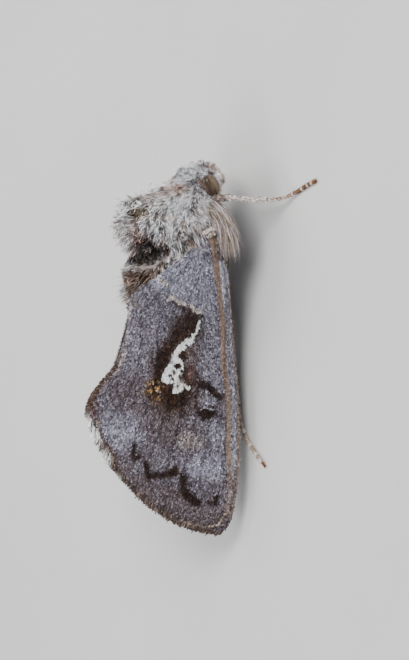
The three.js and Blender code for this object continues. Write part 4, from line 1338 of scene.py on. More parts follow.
def hair_places(rng, count, ahead_span, degree_span, only):
    """Places spread evenly over a part of the skin, on both sides unless only one is asked for."""
    inside = np.linspace(0, 1, SKIN_STEPS)
    section = body_section(inside)
    ahead, girth = section[:, 0], section[:, 1] + 0.3
    allowed = (ahead >= ahead_span[0]) & (ahead <= ahead_span[1])
    chance = np.where(allowed, girth * np.abs(np.gradient(ahead, inside)), 0)
    drawn = rng.choice(inside, count, p=chance / chance.sum()) + rng.random(count) / SKIN_STEPS
    degrees = rng.uniform(*degree_span, count)
    sign = np.where(rng.random(count) < 0.5, -1.0, 1.0) if only == 0 else np.full(count, float(only))
    return np.clip(drawn, 0.001, 0.999), degrees, sign


def hair_tips(rng, t, degrees, sign, look):
    """Roots just under the skin and tips along the lie, held off the skin and short in the hollow."""
    count = len(t)
    angle = np.radians(degrees) * sign
    reach, way = lie(body_section(t)[:, 0], degrees)
    if look["comb"] is not None:
        reach = np.full(count, look["comb"][0])
        way = np.broadcast_to(unit(np.array(look["comb"][1:], float)), (count, 3))
    way = np.stack([-way[:, 0] * sign, way[:, 1], way[:, 2]], axis=-1)
    normal = body_normal(t, angle)
    root = body_point(t, angle) - normal * 0.08
    way = unit(way + look["spread"] * rng.standard_normal((count, 3)) + 0.12 * normal)
    reach = reach * (0.5 + 0.65 * rng.random(count))
    tip = root + way * reach[:, None]
    recess = in_the_hollow(drawing(tip)) * (np.abs(tip[:, 0]) < 2.2)
    reach = reach * (1 - 0.5 * recess)
    tip = root + way * reach[:, None]
    sunk = np.clip(0.1 - np.einsum("ij,ij->i", tip - root, normal), 0, None)
    return root, tip + normal * sunk[:, None], normal, reach


def outer_part_only(rng, root, bend, tip, normal, start):
    """The part of each hair from the share `start` on, with its end let loose."""
    middle = (1 - start) ** 2 * root + 2 * start * (1 - start) * bend + start ** 2 * tip
    loose = 0.22 * np.linalg.norm(tip - middle, axis=1, keepdims=True)
    tip = tip + loose * rng.standard_normal(root.shape)
    bend = (middle + tip) / 2 + 0.25 * (bend - (root + tip) / 2) + 0.4 * loose * normal
    return middle, bend, tip


def hair_curves(rng, root, tip, normal, reach, look):
    """Tips gathered into tufts with a few strays, a curl shared by each tuft, and short dark hairs."""
    count = len(root)
    dark_one = (rng.random(count) < look["dusk"])[:, None]
    tip = root + (tip - root) * (1 - 0.2 * dark_one)
    tip, owner = gathered(root, tip, rng, look["spacing"], look["pull"])
    stray = (rng.random(count) < 0.12)[:, None]
    tip = tip + stray * 0.1 * reach[:, None] * rng.standard_normal((count, 3))
    bend = root + normal * (0.42 * reach)[:, None] + 0.08 * reach[:, None] * rng.standard_normal((count, 3))
    bend = bend * 0.6 + 0.4 * (root + tip) / 2
    bend = bend + (look["curl"] * reach)[:, None] * rng.standard_normal((count, 3))[owner]
    if look["start"] > 0:
        root, bend, tip = outer_part_only(rng, root, bend, tip, normal, look["start"])
    return root, bend, tip, owner, dark_one


# %% [markdown]
# ## Tones of a coat
# Hairs of one tuft share a tone and single hairs differ a little. Roots lie in shade and tips catch
# the light. Colours kept on the points show this without a texture for each coat.

# %% Tones of a coat, and the coat as a whole


def hair_colours(rng, points, root, tip, owner, grown, dark_one, look):
    """Each hair and tuft has its tone, with painted shade at the root and painted light at the frosted tip.
    """
    count, contrast = len(root), look["contrast"]
    own, frosting = coat_colours(tip * 0.8 + root * 0.2)
    tuft_tone = np.exp(0.42 * contrast * rng.standard_normal(grown))[owner]
    tone = np.exp(0.36 * contrast * rng.standard_normal(count)) * tuft_tone
    own = np.clip(own * tone[:, None], 0, 0.95)
    dusky = dark_one * 0.75
    own = own * (1 - dusky) + INK["hollow"] * dusky
    # Painted shade: hair tips in the hollow are darkened by a fifth.
    own = own * (1 - 0.2 * in_the_hollow(drawing(tip)))[:, None]
    bright_enough = np.clip(own.mean(axis=1) / 0.12, 0.1, 1)
    pale = (look["frost"] * frosting * rng.random(count) ** 1.4 * bright_enough)[:, None]
    tipped = own + (INK["white"] - own) * pale
    # Painted shade at the roots and painted light at the tips.
    shade = root_shade_tip_light(0.12, 0.5, 1.15, 1.4)
    colours = own[:, None] * shade
    colours[:, 6:] = tipped[:, None] * shade[:, 6:]
    return np.clip(colours * np.exp(0.62 * contrast * clumps(points))[..., None], 0, 0.95)


def coat(name, count, ahead_span, degree_span, seed, **own_look):
    look = {**PLAIN_COAT, **own_look}
    rng = np.random.default_rng(seed)
    t, degrees, sign = hair_places(rng, count, ahead_span, degree_span, look["only"])
    root, tip, normal, reach = hair_tips(rng, t, degrees, sign, look)
    root, bend, tip, owner, dark_one = hair_curves(rng, root, tip, normal, reach, look)
    off_eye = clear_of_the_eyes(tip)
    angle = np.radians(degrees) * sign
    kept = (value[off_eye] for value in (t, angle, root, bend, tip, owner, dark_one))
    t, angle, root, bend, tip, owner, dark_one = kept
    root, bend, tip = (keep_off_the_wings(points) for points in (root, bend, tip))
    width = look["width"] * (0.55 + 0.8 * rng.random(len(root)))
    points = blades(root, bend, tip, width, broad=look["broad"])
    colours = hair_colours(rng, points, root, tip, owner, count, dark_one, look)
    places = np.stack([t, angle / (2 * np.pi) + 0.5], axis=-1)
    return lay(name, BLADE, points, colours, places, HAIR_FINISH)


# %% [markdown]
# ## All the coats
# Each call names how many hairs the coat has, its span ahead, its span of degrees from the top and
# the seed of its random draws. The rest is said only where a coat differs from the plain one.

# %% Coats
coat("coat_head", 10500, (8.9, 10.5), (0, 180), 61, width=0.05, pull=0.55, spread=0.4, spacing=0.03,
     frost=1.1, dusk=0.1, contrast=0.85)
coat("coat_collar", 9500, (7.9, 8.95), (0, 130), 62, width=0.055, spread=0.32, spacing=0.03, frost=0.4,
     dusk=0.1, contrast=1.1)
coat("coat_crest_front", 7500, (6.3, 8.0), (0, 62), 63, width=0.07, pull=0.65, spread=0.3, frost=1.0,
     broad=0.6, contrast=1.3)
coat("coat_crest_back", 7500, (4.3, 6.4), (0, 62), 64, width=0.07, pull=0.65, spread=0.28, frost=0.9,
     broad=0.5, contrast=1.3)
coat("coat_sides", 7000, (5.0, 8.2), (60, 100), 65, pull=0.4, spread=0.5, spacing=0.03, frost=0.85,
     broad=0.5, curl=0.25)
coat("coat_top", 10000, (5.3, 8.3), (0, 75), 70, width=0.07, pull=0.55, spread=0.4, spacing=0.035,
     frost=1.0, broad=0.9, dusk=0.2, start=0.68, curl=0.24, contrast=1.5)
coat("coat_hind_tuft", 3800, (2.9, 4.3), (0, 30), 66, width=0.065, pull=0.45, spread=0.3, frost=1.2,
     contrast=1.5, dusk=0.2)
coat("coat_hind_edge", 1200, (2.5, 3.2), (0, 22), 72, width=0.05, pull=0.4, spread=0.2, spacing=0.04,
     frost=1.4, dusk=0.1, only=-1, comb=(2.3, 0.32, 0.55, 0.95))
coat("coat_curtain", 1500, (5.1, 6.4), (35, 80), 71, pull=0.5, spread=0.14, spacing=0.05, frost=1.0,
     dusk=0.15, only=-1, comb=(1.7, 0.35, 0.85, 0.8))
coat("coat_breast", 4000, (2.4, 8.6), (98, 180), 67, pull=0.5, spread=0.25)
coat("coat_abdomen", 3200, (-7.1, 4.2), (0, 180), 68, width=0.07, pull=0.4, spread=0.2)

# %% [markdown]
# ## The fan of the shoulder
# From the shoulder flap of a noctuid a fan of long, fine hair sweeps out over the wing root and
# falls beside the breast. Its hairs run between three lines, the roots, the bends and the tips.

# %% Shoulder fan
FAN = {
    "root": [(1.7, 8.25, 3.95), (1.35, 8.9, 3.6)],
    "bend": [(2.3, 8.05, 3.5), (4.15, 9.3, 3.15)],
    "tip": [(2.95, 5.3, 3.1), (3.35, 5.7, 2.0)],
}


def shoulder_fan(side, count=2400):
    rng = np.random.default_rng(100 + side)
    share = rng.random(count) ** 0.8
    low, high = ({key: np.array(line[k]) for key, line in FAN.items()} for k in (0, 1))
    words = {key: low[key] + (high[key] - low[key]) * share[:, None] for key in FAN}
    short = 1 - 0.66 * rng.random(count)[:, None] ** 0.7
    root = place(*(words["root"] + rng.normal(0, 0.1, (count, 3))).T)
    bend = place(*(words["bend"] + rng.normal(0, 0.16, (count, 3))).T)
    tip = place(*(words["tip"] + rng.normal(0, 0.38, (count, 3))).T)
    tip = (1 - short) ** 2 * root + 2 * short * (1 - short) * bend + short ** 2 * tip
    bend = root + (bend - root) * short
    tip, owner = gathered(tip, tip, rng, 0.03, 0.3)
    points = blades(root, bend, tip, 0.045 * (0.6 + 0.8 * rng.random(count)), broad=0.1)
    own = coat_colours(tip * 0.7 + bend * 0.3)[0]
    own = own * np.exp(0.45 * rng.standard_normal(count) + 0.2 * rng.standard_normal(count)[owner])[:, None]
    own = own + (INK["white"] - own) * (0.5 * (rng.random(count) < 0.06 + 0.2 * share))[:, None]
    own = np.where((rng.random(count) < 0.24)[:, None], own * 0.35, own)
    # Painted shade at the roots and painted light at the tips of the fan's hair.
    colours = np.clip(own[:, None] * root_shade_tip_light(0.25, 0.75, 1.1, 1.3), 0, 0.95)
    points = mirrored(points, side)
    points[..., 2] = np.maximum(points[..., 2], 0.05)
    places = np.stack([0.3 + 0.1 * share, 0.25 + 0.5 * (side == RIGHT) + 0.2 * rng.random(count)], axis=-1)
    name = f"coat_fan_{SIDE_NAMES[side]}"
    return lay(name, facing(BLADE, side), points, colours, places, HAIR_FINISH)


for side in (RIGHT, LEFT):
    shoulder_fan(side)

# %% [markdown]
# ## Hair along the wing's hind edge
# Where the inner edge of the forewing meets the crest, a line of long pale hair curves round the
# hollow. A few fine blades that each follow a part of one curve give that thin drawn line.

# %% Edge hair
EDGE_HAIR = [(1.5, 6.0, 5.5), (1.25, 5.2, 5.75), (0.9, 4.35, 6.15), (0.6, 4.15, 6.65), (0.3, 4.15, 7.15)]


def edge_hair(side, count=46):
    rng = np.random.default_rng(130 + side)
    path = smooth_line(EDGE_HAIR)
    start = 0.75 * rng.random(count) ** 1.3
    end = np.minimum(start + 0.3 + 0.25 * rng.random(count), 1.0)
    drift = rng.normal(0, 0.035, (count, 3))
    root, tip = path(start) + drift, path(end) + drift + rng.normal(0, 0.035, (count, 3))
    bend = 2 * (path((start + end) / 2) + drift) - (root + tip) / 2
    points = blades(root, bend, tip, 0.028 * (0.7 + 0.6 * rng.random(count)))
    own = INK["pale_fuzz"] * (0.6 + 0.5 * rng.random(count))[:, None]
    # Painted shade towards the roots of the edge hair.
    colours = np.clip(own[:, None] * root_shade_tip_light(0.6, 0.9, 1.0, 1.0), 0, 0.95)
    places = np.stack([0.5 + 0.1 * start, 0.3 + 0.4 * (side == RIGHT) + 0.1 * end], axis=-1)
    name, points = f"coat_edge_{SIDE_NAMES[side]}", on_side(points, side)
    lay(name, facing(BLADE, side), points, colours, places, HAIR_FINISH)


for side in (RIGHT, LEFT):
    edge_hair(side)

# %% [markdown]
# ## Eyes
# A moth's eye is a dome of tiny facets, softly glossy, with darker and lighter streaks drawn in its
# colour. A smooth dome with a fine facet bump gives the gleam; the coat closes over its rim.

# %% Eyes
EYE = {"out": 1.42, "radii": (0.45, 0.7, 0.5), "turn": 0.2, "pitch": 0.65}
EYE_AHEAD_AND_HEIGHT = {RIGHT: (9.8, 3.72), LEFT: (9.33, 3.57)}
EYE_STREAKS = [
    ("eye_light", 0.7, [(213, 181), (216, 186), (218, 192)], 1.2, 1.8),
    ("eye_dark", 0.85, [(209, 181), (212, 186), (215.5, 192)], 0.8, 1.5),
    ("eye_dark", 0.8, [(204, 175), (206, 184), (211, 193)], 2.2, 2.6),
    ("eye_light", 0.5, [(209, 176), (210, 180), (214, 190)], 0.5, 1.0),
]
INK.update(inks(eye="58493b", eye_dark="2c221b", eye_light="7f6e57"))


def eye_finish():
    material = finish("eye", 0.34, grain=2500, grain_depth=0.15, bump=0.0, bump_scale=20000)
    nodes, links = material.node_tree.nodes, material.node_tree.links
    shader = nodes["Principled BSDF"]
    shader.inputs["Coat Weight"].default_value = 0.2
    shader.inputs["Coat Roughness"].default_value = 0.12
    facets = nodes.new("ShaderNodeTexVoronoi")
    facets.inputs["Scale"].default_value = 22000
    where = nodes.new("ShaderNodeTexCoord")
    links.new(where.outputs["Object"], facets.inputs["Vector"])
    relief = nodes.new("ShaderNodeBump")
    relief.inputs["Strength"].default_value = 0.35
    relief.inputs["Distance"].default_value = 0.00001
    links.new(facets.outputs["Distance"], relief.inputs["Height"])
    links.new(relief.outputs["Normal"], shader.inputs["Normal"])
    return material


EYE_FINISH = eye_finish()


def eye(side):
    rows, columns = 60, 90
    a = np.linspace(0.001, np.pi - 0.001, rows)[:, None]
    b = np.linspace(0, 2 * np.pi, columns, endpoint=False)[None, :]
    ball = np.stack([np.sin(a) * np.cos(b), np.cos(a) * np.ones_like(b), np.sin(a) * np.sin(b)], axis=-1)
    ball = ball * EYE["radii"]
    x, y, z = ball[..., 0], ball[..., 1], ball[..., 2]
    c, s = math.cos(EYE["pitch"]), math.sin(EYE["pitch"])
    y, z = y * c + z * s, -y * s + z * c
    c, s = math.cos(EYE["turn"]), math.sin(EYE["turn"])
    turned = np.stack([x * c - y * s, x * s + y * c, z], axis=-1)
    points = (turned + place(EYE["out"], *EYE_AHEAD_AND_HEIGHT[side])).reshape(-1, 3)
    p = drawing(points)
    colour = np.broadcast_to(INK["eye"], points.shape).copy()
    for ink, strength, line, reach, softness in EYE_STREAKS:
        colour = blend(colour, ink, strength * stroke(p, line, reach, softness))
    name = SIDE_NAMES[side]
    faces = facing(grid_faces(rows, columns, wrap=True)[:, ::-1], side)
    piece = add_mesh(f"eye_dome_{name}", mirrored(points, side), faces)
    colour_points(piece, colour)
    piece.data.materials.append(EYE_FINISH)
    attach(piece, "root")
    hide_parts(f"eye_{name}")


for side in (RIGHT, LEFT):
    eye(side)

# %% [markdown]
# ## Legs
# Each leg has a stout femur, a rough-scaled tibia and a thin foot of five joints, brown with a white
# ring at each joint, and a pair of claws. A tube follows the leg's path with its radius swelling
# at each joint, and short scales lie along it, pointing to the foot.

# %% Legs
LEG = {"femur": 0.36, "tibia": 0.18, "tarsus": 0.2, "claw": 0.1}
LEG_ROWS = 260
LEG_SCALES = 1700
FOOT_JOINTS = np.array([0.0, 0.42, 0.63, 0.79, 0.9])
FAR_AWAY = 9
STRIPE_SIDE = unit(np.array([0.785, 0.366, 0.5]))
FORELEG_REACHING = [
    (0.9, 8.5, 2.7), (1.35, 8.85, 3.3), (1.75, 9.12, 3.48), (2.7, 9.55, 2.95), (3.6, 9.8, 1.85),
    (4.4, 10.2, 0.65), (5.2, 10.95, 0.23), (6.16, 11.8, 0.2), (7.01, 12.5, 0.2),
]
FORELEG_SET_BACK = [
    (0.8, 8.2, 1.8), (1.7, 8.75, 2.5), (2.6, 8.75, 2.6), (3.4, 8.3, 1.5),
    (4.1, 7.7, 0.5), (4.9, 7.0, 0.2), (5.7, 6.2, 0.2), (6.4, 5.4, 0.2),
]
MIDLEG = [
    (0.62, 6.2, 1.6), (0.55, 5.2, 1.3), (0.5, 3.8, 0.95), (0.43, 2.4, 0.58),
    (0.42, 1.0, 0.3), (0.45, -0.4, 0.2), (0.6, -1.8, 0.2),
]
HINDLEG = [
    (1.25, 4.3, 1.6), (1.35, 3.0, 1.2), (1.6, 1.4, 0.8), (2.1, -0.6, 0.45),
    (3.1, -2.8, 0.2), (4.4, -4.6, 0.2), (6.16, -5.35, 0.2), (7.8, -5.7, 0.2),
]
INK.update(inks(
    tarsus="8a6547", pale_tarsus="bfa793", stripe="9c6a42", ring="efe6e0", claw="7a4b28", tibia="a39489",
    femur="8f8076", dusk="4d3d33",
))


def tube(path, share, radius, sides=14):
    """Rings of a tube along a path, with the frame carried along it without twisting."""
    middle = path(share)
    ahead = unit(np.gradient(middle, axis=0))
    side = np.zeros_like(middle)
    side[0] = unit(np.cross(ahead[0], [0, 0, 1.0]) + 1e-6)
    for k in range(1, len(middle)):
        side[k] = unit(side[k - 1] - ahead[k] * (side[k - 1] @ ahead[k]))
    over = np.cross(side, ahead)
    angle = np.linspace(0, 2 * np.pi, sides, endpoint=False)
    spread = side[:, None] * np.cos(angle)[None, :, None] + over[:, None] * np.sin(angle)[None, :, None]
    return middle[:, None] + spread * radius[:, None, None], ahead, spread


def closed_tube(name, rings, colours, material, flip=False):
    rows, columns = rings.shape[:2]
    flat = np.vstack([rings.reshape(-1, 3), rings[0].mean(axis=0), rings[-1].mean(axis=0)])
    quads = grid_faces(rows, columns, wrap=True)
    triangles = np.vstack([quads[:, [0, 1, 2]], quads[:, [0, 2, 3]]])
    start, end = len(flat) - 2, len(flat) - 1
    turn = np.arange(columns)
    after = (turn + 1) % columns
    last = (rows - 1) * columns
    caps = np.vstack([
        np.stack([np.full(columns, start), after, turn], axis=-1),
        np.stack([np.full(columns, end), last + turn, last + after], axis=-1),
    ])
    triangles = np.vstack([triangles, caps])
    if flip:
        triangles = triangles[:, ::-1]
    piece = add_mesh(name, flat, triangles)
    colour_points(piece, np.vstack([np.repeat(colours, columns, axis=0), colours[:1], colours[-1:]]))
    piece.data.materials.append(material)
    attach(piece, "root")
    return piece


def leg_form(share, knee, ankle):
    """Radius along a leg, and where its white rings are."""
    femur, tibia, tarsus, claw = (LEG[key] / 2 for key in ("femur", "tibia", "tarsus", "claw"))
    stepped = np.where(share < knee, femur, np.where(share < ankle, tibia, tarsus))
    stops = [0, knee - 0.03, knee + 0.03, ankle - 0.02, ankle + 0.02, 0.97, 1.0]
    smooth = np.interp(share, stops, [femur, femur / 1.2, tibia, tibia, tarsus, tarsus / 1.15, claw])
    radius = 0.15 * stepped + 0.85 * smooth
    joints = ankle + (1 - ankle) * FOOT_JOINTS
    gap = np.min(np.abs(share[:, None] - joints[None, 1:]), axis=1)
    pinch = np.exp(-(gap / 0.006) ** 2)
    swell = np.exp(-((gap - 0.012) / 0.012) ** 2)
    radius = radius * (1 - 0.22 * pinch + 0.1 * swell)
    to_joint = joints[None, :] - share[:, None]
    before = np.min(np.where(to_joint > -0.004, to_joint, FAR_AWAY), axis=1)
    return radius, near(before, 0.014, 0.007)


def leg_colours(share, knee, ankle, ring, foot="tarsus"):
    colour = np.broadcast_to(INK["tibia"], (len(share), 3)).copy()
    colour = blend(colour, "femur", 1 - ease(knee - 0.05, knee + 0.05, share))
    colour = blend(colour, foot, ease(ankle - 0.02, ankle + 0.03, share))
    colour = blend(colour, "dusk", 0.35 * (0.5 + 0.5 * patches(share * 60, share * 0, 1.0, 21)))
    colour = blend(colour, "ring", 0.95 * ring * ease(ankle - 0.05, ankle, share))
    return blend(colour, "claw", ease(0.965, 0.98, share))


# %% [markdown]
# ## Scales of a leg
# A moth's shin is rough with pale scales, with a rusty stripe down its outer side. The same wedges
# as on the wing lie along the tube, which keeps the leg from looking like a wire.

# %% Scales of a leg


def leg_scale_colours(rng, s, off, on_foot, shares, foot):
    """Pale and brown scales mixed, with a rusty stripe down the outer side of the shin."""
    knee, ankle = shares
    ring = leg_form(s + 0.01, knee, ankle)[1]
    colour = leg_colours(s, knee, ankle, ring, foot) * np.exp(0.2 * rng.standard_normal(len(s)))[:, None]
    on_shin = ease(knee - 0.03, knee + 0.03, s) * (1 - ease(0.3, 0.45, (s - ankle) / (1 - ankle)))
    stripe = ease(0.3, 0.75, off @ STRIPE_SIDE)
    pale = (rng.random(len(s)) > 0.75 - 0.5 * on_shin) * (1 - 0.6 * on_foot * (1 - on_shin))
    colour = blend(colour, "ring", np.where(on_shin > 0.5, 0.8, 0.55) * pale * (1 - stripe * on_shin))
    return np.clip(blend(colour, "stripe", 0.85 * stripe * on_shin), 0, 1)


def leg_scales(name, form, shares, side, seed, foot):
    path, share, radius, ahead, spread = form
    ankle = shares[1]
    rng = np.random.default_rng(seed)
    s = np.sort(rng.random(LEG_SCALES)) * 0.965
    around = rng.uniform(0, 2 * np.pi, LEG_SCALES)
    row = (s * (LEG_ROWS - 1)).astype(int)
    side_way, over_way = spread[row, 0], np.cross(spread[row, 0], ahead[row])
    off = side_way * np.cos(around)[:, None] + over_way * np.sin(around)[:, None]
    root = path(s) + off * np.interp(s, share, radius)[:, None]
    forward = unit(ahead[row] + 0.15 * rng.standard_normal((LEG_SCALES, 3)))
    across = unit(np.cross(off, forward))
    on_foot = ease(ankle - 0.03, ankle + 0.03, s)
    length = (0.25 - 0.11 * on_foot) * (0.7 + 0.6 * rng.random(LEG_SCALES))
    lift = (0.035 - 0.01 * on_foot) * (0.3 + 1.2 * rng.random(LEG_SCALES))
    points = wedges(root, forward, across, off, length, 0.042 - 0.008 * on_foot, lift)
    points[..., 2] = np.maximum(points[..., 2], 0.0)
    colour = leg_scale_colours(rng, s, off, on_foot, shares, foot)
    places = np.stack([s, around / (2 * np.pi)], -1)
    name, points = f"leg_scales_{name}", mirrored(points, side)
    lay(name, facing(WEDGE, side), points, colour, places, LEG_FINISH)


# %% [markdown]
# ## Claws, and the whole leg
# The foot ends in two small hooks that spread. Each is one blade as thick as it is wide, because
# at this size a finer hook would show no more.

# %% Claws, and a leg as a whole


def leg_claws(name, path, way, side):
    """Two small hooks that spread at the end of the foot."""
    root = path(np.array([0.985]))
    out = unit(np.cross(way, [0, 0, 1.0]))
    for sign, part in ((1, "a"), (-1, "b")):
        bend = root + way * 0.14 + out * 0.11 * sign + [0, 0, 0.06]
        end = root + way * 0.26 + out * 0.1 * sign + [0, 0, -0.04]
        claw = blades(root, bend, end, np.array([0.07]), flatness=1.0)[0]
        claw[:, 2] = np.maximum(claw[:, 2], 0.0)
        hook = add_mesh(f"claw_{name}_{part}", mirrored(claw, side), facing(BLADE, side))
        colour_points(hook, np.repeat(INK["claw"][None] * 0.6, len(claw), axis=0))
        hook.data.materials.append(LEG_FINISH)
        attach(hook, "root")


def add_leg(name, words, shares, side, seed, foot="tarsus"):
    knee, ankle = shares
    low = np.array(words, float)
    low[:, 2] -= 0.07 * (1 - ease(0.25, 0.8, low[:, 2]))
    path = smooth_line(low)
    share = np.linspace(0, 1, LEG_ROWS)
    radius, ring = leg_form(share, knee, ankle)
    rings, ahead, spread = tube(path, share, radius)
    colours = leg_colours(share, knee, ankle, ring, foot) * 0.8
    piece = closed_tube(f"leg_{name}", mirrored(rings, side), colours, LEG_FINISH, side == LEFT)
    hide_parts(name)
    leg_scales(name, (path, share, radius, ahead, spread), shares, side, seed, foot)
    leg_claws(name, path, ahead[-1], side)


LEG_FINISH = finish("leg", 0.6, grain=3000, grain_depth=0.2, bump=0.3, bump_scale=12000)
add_leg("foreleg_right", FORELEG_REACHING, (0.25, 0.5), RIGHT, 81)
add_leg("foreleg_left", FORELEG_SET_BACK, (0.24, 0.56), LEFT, 82)
add_leg("midleg_right", MIDLEG, (0.3, 0.55), RIGHT, 83)
add_leg("midleg_left", MIDLEG, (0.3, 0.55), LEFT, 84)
add_leg("hindleg_right", HINDLEG, (0.3, 0.6), RIGHT, 85, "pale_tarsus")
add_leg("hindleg_left", HINDLEG, (0.3, 0.6), LEFT, 86, "pale_tarsus")

# %% [markdown]
# ## Feelers
# At rest the feelers are tucked back under the wings, so only their thick first joint and a short
# length show. Each is a chain of some sixty short joints, brown with a paler scaled edge on each.

# %% Feelers
FEELER = [
    (1.0, 10.05, 4.1), (1.06, 10.02, 4.42), (1.38, 9.9, 4.32), (1.62, 9.6, 3.92), (1.7, 9.15, 3.5),
    (1.75, 8.5, 3.2), (1.95, 7.8, 2.9), (2.2, 7.1, 2.5), (2.25, 5.8, 2.02), (2.15, 4.6, 1.85),
    (2.1, 3.5, 1.75),
]
INK.update(inks(feeler="46352a", feeler_edge="b3a192"))
FEELER_JOINTS = 62
LEFT_FEELER_DROP = np.array([(0, 0.9, 0.7), (0, 0.9, 0.9), (0, 0.8, 0.8), (0, 0.5, 0.4)])


def feeler(side):
    words = np.array(FEELER)
    if side == LEFT:
        words[:len(LEFT_FEELER_DROP)] -= LEFT_FEELER_DROP
    path = smooth_line(words)
    share = np.linspace(0, 1, 520)
    joint = (share * FEELER_JOINTS) % 1.0
    radius = np.interp(share, [0, 0.05, 0.07, 0.3, 1], [0.12, 0.12, 0.085, 0.075, 0.05])
    radius = radius * (0.86 + 0.2 * joint)
    rings = mirrored(tube(path, share, radius, sides=10)[0], side)
    colour = np.broadcast_to(INK["feeler"], (len(share), 3)).copy()
    colour = blend(colour, "feeler_edge", 0.65 * ease(0.6, 0.95, joint))
    name = SIDE_NAMES[side]
    piece = closed_tube(f"feeler_{name}", rings, colour, FEELER_FINISH, side == LEFT)
    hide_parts(f"antenna_{name}")


FEELER_FINISH = finish("feeler", 0.5, grain=3000, grain_depth=0.15, bump=0.2, bump_scale=12000)
for side in (RIGHT, LEFT):
    feeler(side)

# %% [markdown]
# ## Hinge of the wing
# The stout root of the wing's leading edge is a short tapering tube, scaled like a vein, that ends
# in a pale knob beside the shoulder.

# %% Wing hinge
HINGE_GRID = (60, 16)
KNOB_START = 46


def wing_hinge(side):
    rows, sides = HINGE_GRID
    share = np.linspace(0, 1, rows)
    knob = np.exp(-((share - 0.91) / 0.09) ** 2)
    rounded_end = np.sqrt(np.clip(1 - (0.99 * share) ** 30, 0.02, 1))
    radius = (0.1 + 0.03 * ease(0.2, 0.7, share) + 0.1 * knob) * rounded_end
    rings, ahead, spread = tube(smooth_line(HINGE), share, radius, sides)
    bump = 0.07 * patches(share[:, None] * 60, np.arange(sides)[None, :] * 1.3, 1.0, 41)
    rings = rings + spread * bump[..., None]
    colour = np.broadcast_to(INK["vein"], (len(share), 3)).copy()
    colour = blend(colour, "joint", 0.4 * near(np.abs(share - 0.78), 0.04, 0.05))
    colour = blend(colour, "blob", 0.8 * ease(0.82, 0.9, share))
    colour = colour * (1 + 0.25 * patches(share * 60, share * 0, 1.0, 42))[:, None]
    name = SIDE_NAMES[side]
    closed_tube(f"wing_hinge_{name}", on_side(rings, side), colour, WING_FINISH, side == LEFT)
    rng = np.random.default_rng(140 + side)
    count = 420
    k, column = rng.integers(KNOB_START, rows, count), rng.integers(0, sides, count)
    off = unit(spread[k, column])
    forward = unit(0.8 * off - 0.8 * ahead[k] + 0.6 * rng.standard_normal((count, 3)))
    across = unit(np.cross(off, forward))
    length, half_width, lift = 0.1 + 0.14 * rng.random(count), np.full(count, 0.05), 0.06 * rng.random(count)
    points = wedges(rings[k, column], forward, across, off, length, half_width, lift)
    tones = INK["blob"] * np.exp(0.35 * rng.standard_normal(count))[:, None]
    name, points, tones = f"wing_hinge_tuft_{name}", on_side(points, side), np.clip(tones, 0, 1)
    places = np.stack([k / rows, column / sides], axis=-1)
    lay(name, facing(WEDGE, side), points, tones, places, WING_FINISH)


for side in (RIGHT, LEFT):
    wing_hinge(side)

# %% [markdown]
# ## Palps
# Two short palps curve up in front of the face, thick with hair. Each has a core that follows its
# bend and short hair all round, pointing to the tip.

# %% Palps
PALP = [(0.42, 9.4, 2.4), (0.43, 9.85, 2.55), (0.4, 10.1, 3.0)]


def palp(side, seed):
    path = smooth_line(PALP)
    share = np.linspace(0, 1, 60)
    radius = 0.1 * np.sqrt(np.clip(1 - (share * 0.98) ** 6, 0.03, 1))
    rings, ahead, spread = tube(path, share, radius, sides=12)
    name = SIDE_NAMES[side]
    colours = np.broadcast_to(INK["face"] * 0.5, (len(share), 3))
    piece = closed_tube(f"palp_core_{name}", mirrored(rings, side), colours, SKIN_FINISH, side == LEFT)
    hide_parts(f"palp_{name}")
    rng = np.random.default_rng(seed)
    count = 1000
    s = rng.random(count)
    around = rng.uniform(0, 2 * np.pi, count)
    k = (s * 59).astype(int)
    side_way, over_way = spread[k, 0], np.cross(spread[k, 0], ahead[k])
    off = side_way * np.cos(around)[:, None] + over_way * np.sin(around)[:, None]
    root = path(s) + off * 0.1
    way = unit(ahead[k] + 0.5 * off + 0.45 * rng.standard_normal((count, 3)))
    reach = (0.16 + 0.16 * rng.random(count))[:, None]
    tip = root + way * reach
    bend = root + off * 0.5 * reach
    points = blades(root, bend, tip, 0.05 * (0.7 + 0.6 * rng.random(count)))
    own = INK["face"] * np.exp(0.5 * rng.standard_normal(count))[:, None]
    # Painted shade at the roots and painted light at the tips of the palp's hair.
    colours = np.clip(own[:, None] * root_shade_tip_light(0.3, 0.65, 1.0, 1.15), 0, 1)
    name, places = f"palp_hair_{name}", np.stack([s, around / (2 * np.pi)], -1)
    lay(name, facing(BLADE, side), mirrored(points, side), colours, places, HAIR_FINISH)


palp(RIGHT, 91)
palp(LEFT, 92)

# %% [markdown]
# ## Hindwings
# Folded under the forewings lie the hindwings, pleated lengthwise, greyish brown. Only from behind
# or below do their edges show, so they are thin closed sheets with shallow pleats.

# %% Hindwings
INK.update(inks(hindwing="9c8c7a"))
HINDWING = {"from": 0.1, "to": 0.44, "start": 0.26, "end": 0.9, "depth": 0.62, "thickness": 0.1}


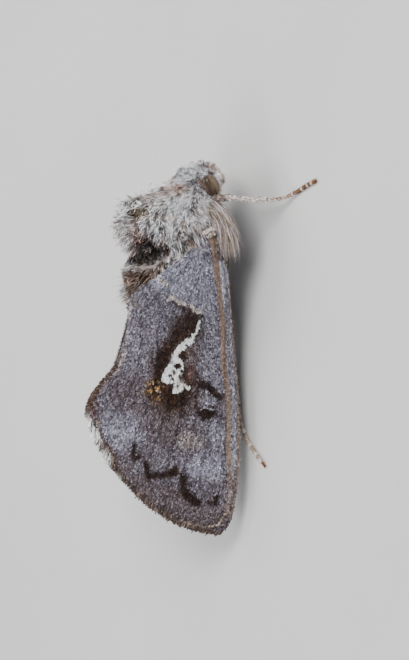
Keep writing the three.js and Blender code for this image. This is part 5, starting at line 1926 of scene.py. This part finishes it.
def hindwing(side):
    rows, columns = 90, 44
    r = np.linspace(0, 1, rows)[:, None]
    c = np.linspace(0, 1, columns)[None, :]
    u = HINDWING["start"] + (HINDWING["end"] - HINDWING["start"]) * r
    spread = np.sin(np.pi * np.minimum(0.5, 0.18 + 0.5 * r))
    v = HINDWING["from"] + (HINDWING["to"] - HINDWING["from"]) * spread * c
    u = u * np.ones_like(c)
    normal = wing_normal(u, v)
    pleat = 0.09 * (1 - np.cos(2 * np.pi * c * 3)) * ease(0, 0.15, r)
    pleat = pleat + 0.02 * patches(u * 60, v * 40, 1.0, 31)
    flat = wing_point(u, v) - normal * (HINDWING["depth"] + pleat)[..., None]
    under = flat - normal * HINDWING["thickness"]
    tone = 0.8 + 0.2 * patches(u * 40, v * 30, 1.0, 32)
    shade = tone * (1 - 0.35 * ease(0.75, 1.0, r * np.ones_like(c)))
    colours = (INK["hindwing"] * shade[..., None]).reshape(-1, 3)
    name = SIDE_NAMES[side]
    points = np.vstack([flat.reshape(-1, 3), under.reshape(-1, 3)])
    faces = facing(sheet_faces(rows, columns), side)
    piece = add_mesh(f"hindwing_sheet_{name}", on_side(points, side), faces)
    colour_points(piece, np.vstack([colours, colours * 0.9]))
    piece.data.materials.append(WING_FINISH)
    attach(piece, "root")
    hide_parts(f"hindwing_{name}")


for side in (RIGHT, LEFT):
    hindwing(side)
print("hindwings made")

# %% [markdown]
# ## Floor and light
# A pale, plain floor and wide soft lamps, as under an overcast sky, show the fine texture without
# hard shadows. The lamps are scaled to an animal two centimetres long.

# %% Floor and light


FLOOR_REACH = 400.0
FLOOR_COLOUR = (0.62, 0.61, 0.59)
SKY_COLOUR, SKY_STRENGTH = (0.86, 0.9, 1.0, 1), 0.55
LIT_PLACE = place(1.0, 0.0, 4.0)
LAMPS = [
    # name, place (out, ahead, height), width across, watts
    ("sky_over_the_head", (60, 130, 150), 110, 0.42),
    ("sky_behind", (30, -120, 140), 120, 0.16),
    ("sky_left", (-90, 10, 130), 120, 0.16),
]


def add_floor():
    corners = FLOOR_REACH * np.array([[-1, -1, 0], [1, -1, 0], [1, 1, 0], [-1, 1, 0]], float)
    floor = add_mesh("floor", corners, np.array([[0, 1, 2, 3]]), smooth=False)
    floor.data.materials.append(finish("floor", 0.9, 60, 0.03, 0.05, 400, colour=FLOOR_COLOUR))
    return floor


def add_lamp(name, words, size, power):
    lamp = bpy.data.objects.new(name, bpy.data.lights.new(name, "AREA"))
    bpy.context.scene.collection.objects.link(lamp)
    lamp.data.shape = "DISK"
    lamp.data.size = size * MM
    lamp.data.energy = power
    stand = Vector(place(*words) * MM)
    aim = (Vector(LIT_PLACE * MM) - stand).to_track_quat("-Z", "Y")
    lamp.matrix_world = Matrix.Translation(stand) @ aim.to_matrix().to_4x4()
    return lamp


add_floor()
for lamp_words in LAMPS:
    add_lamp(*lamp_words)
world = bpy.data.worlds.new("overcast")
bpy.context.scene.world = world
world.use_nodes = True
world.node_tree.nodes["Background"].inputs["Color"].default_value = SKY_COLOUR
world.node_tree.nodes["Background"].inputs["Strength"].default_value = SKY_STRENGTH
print("floor and lamps placed")
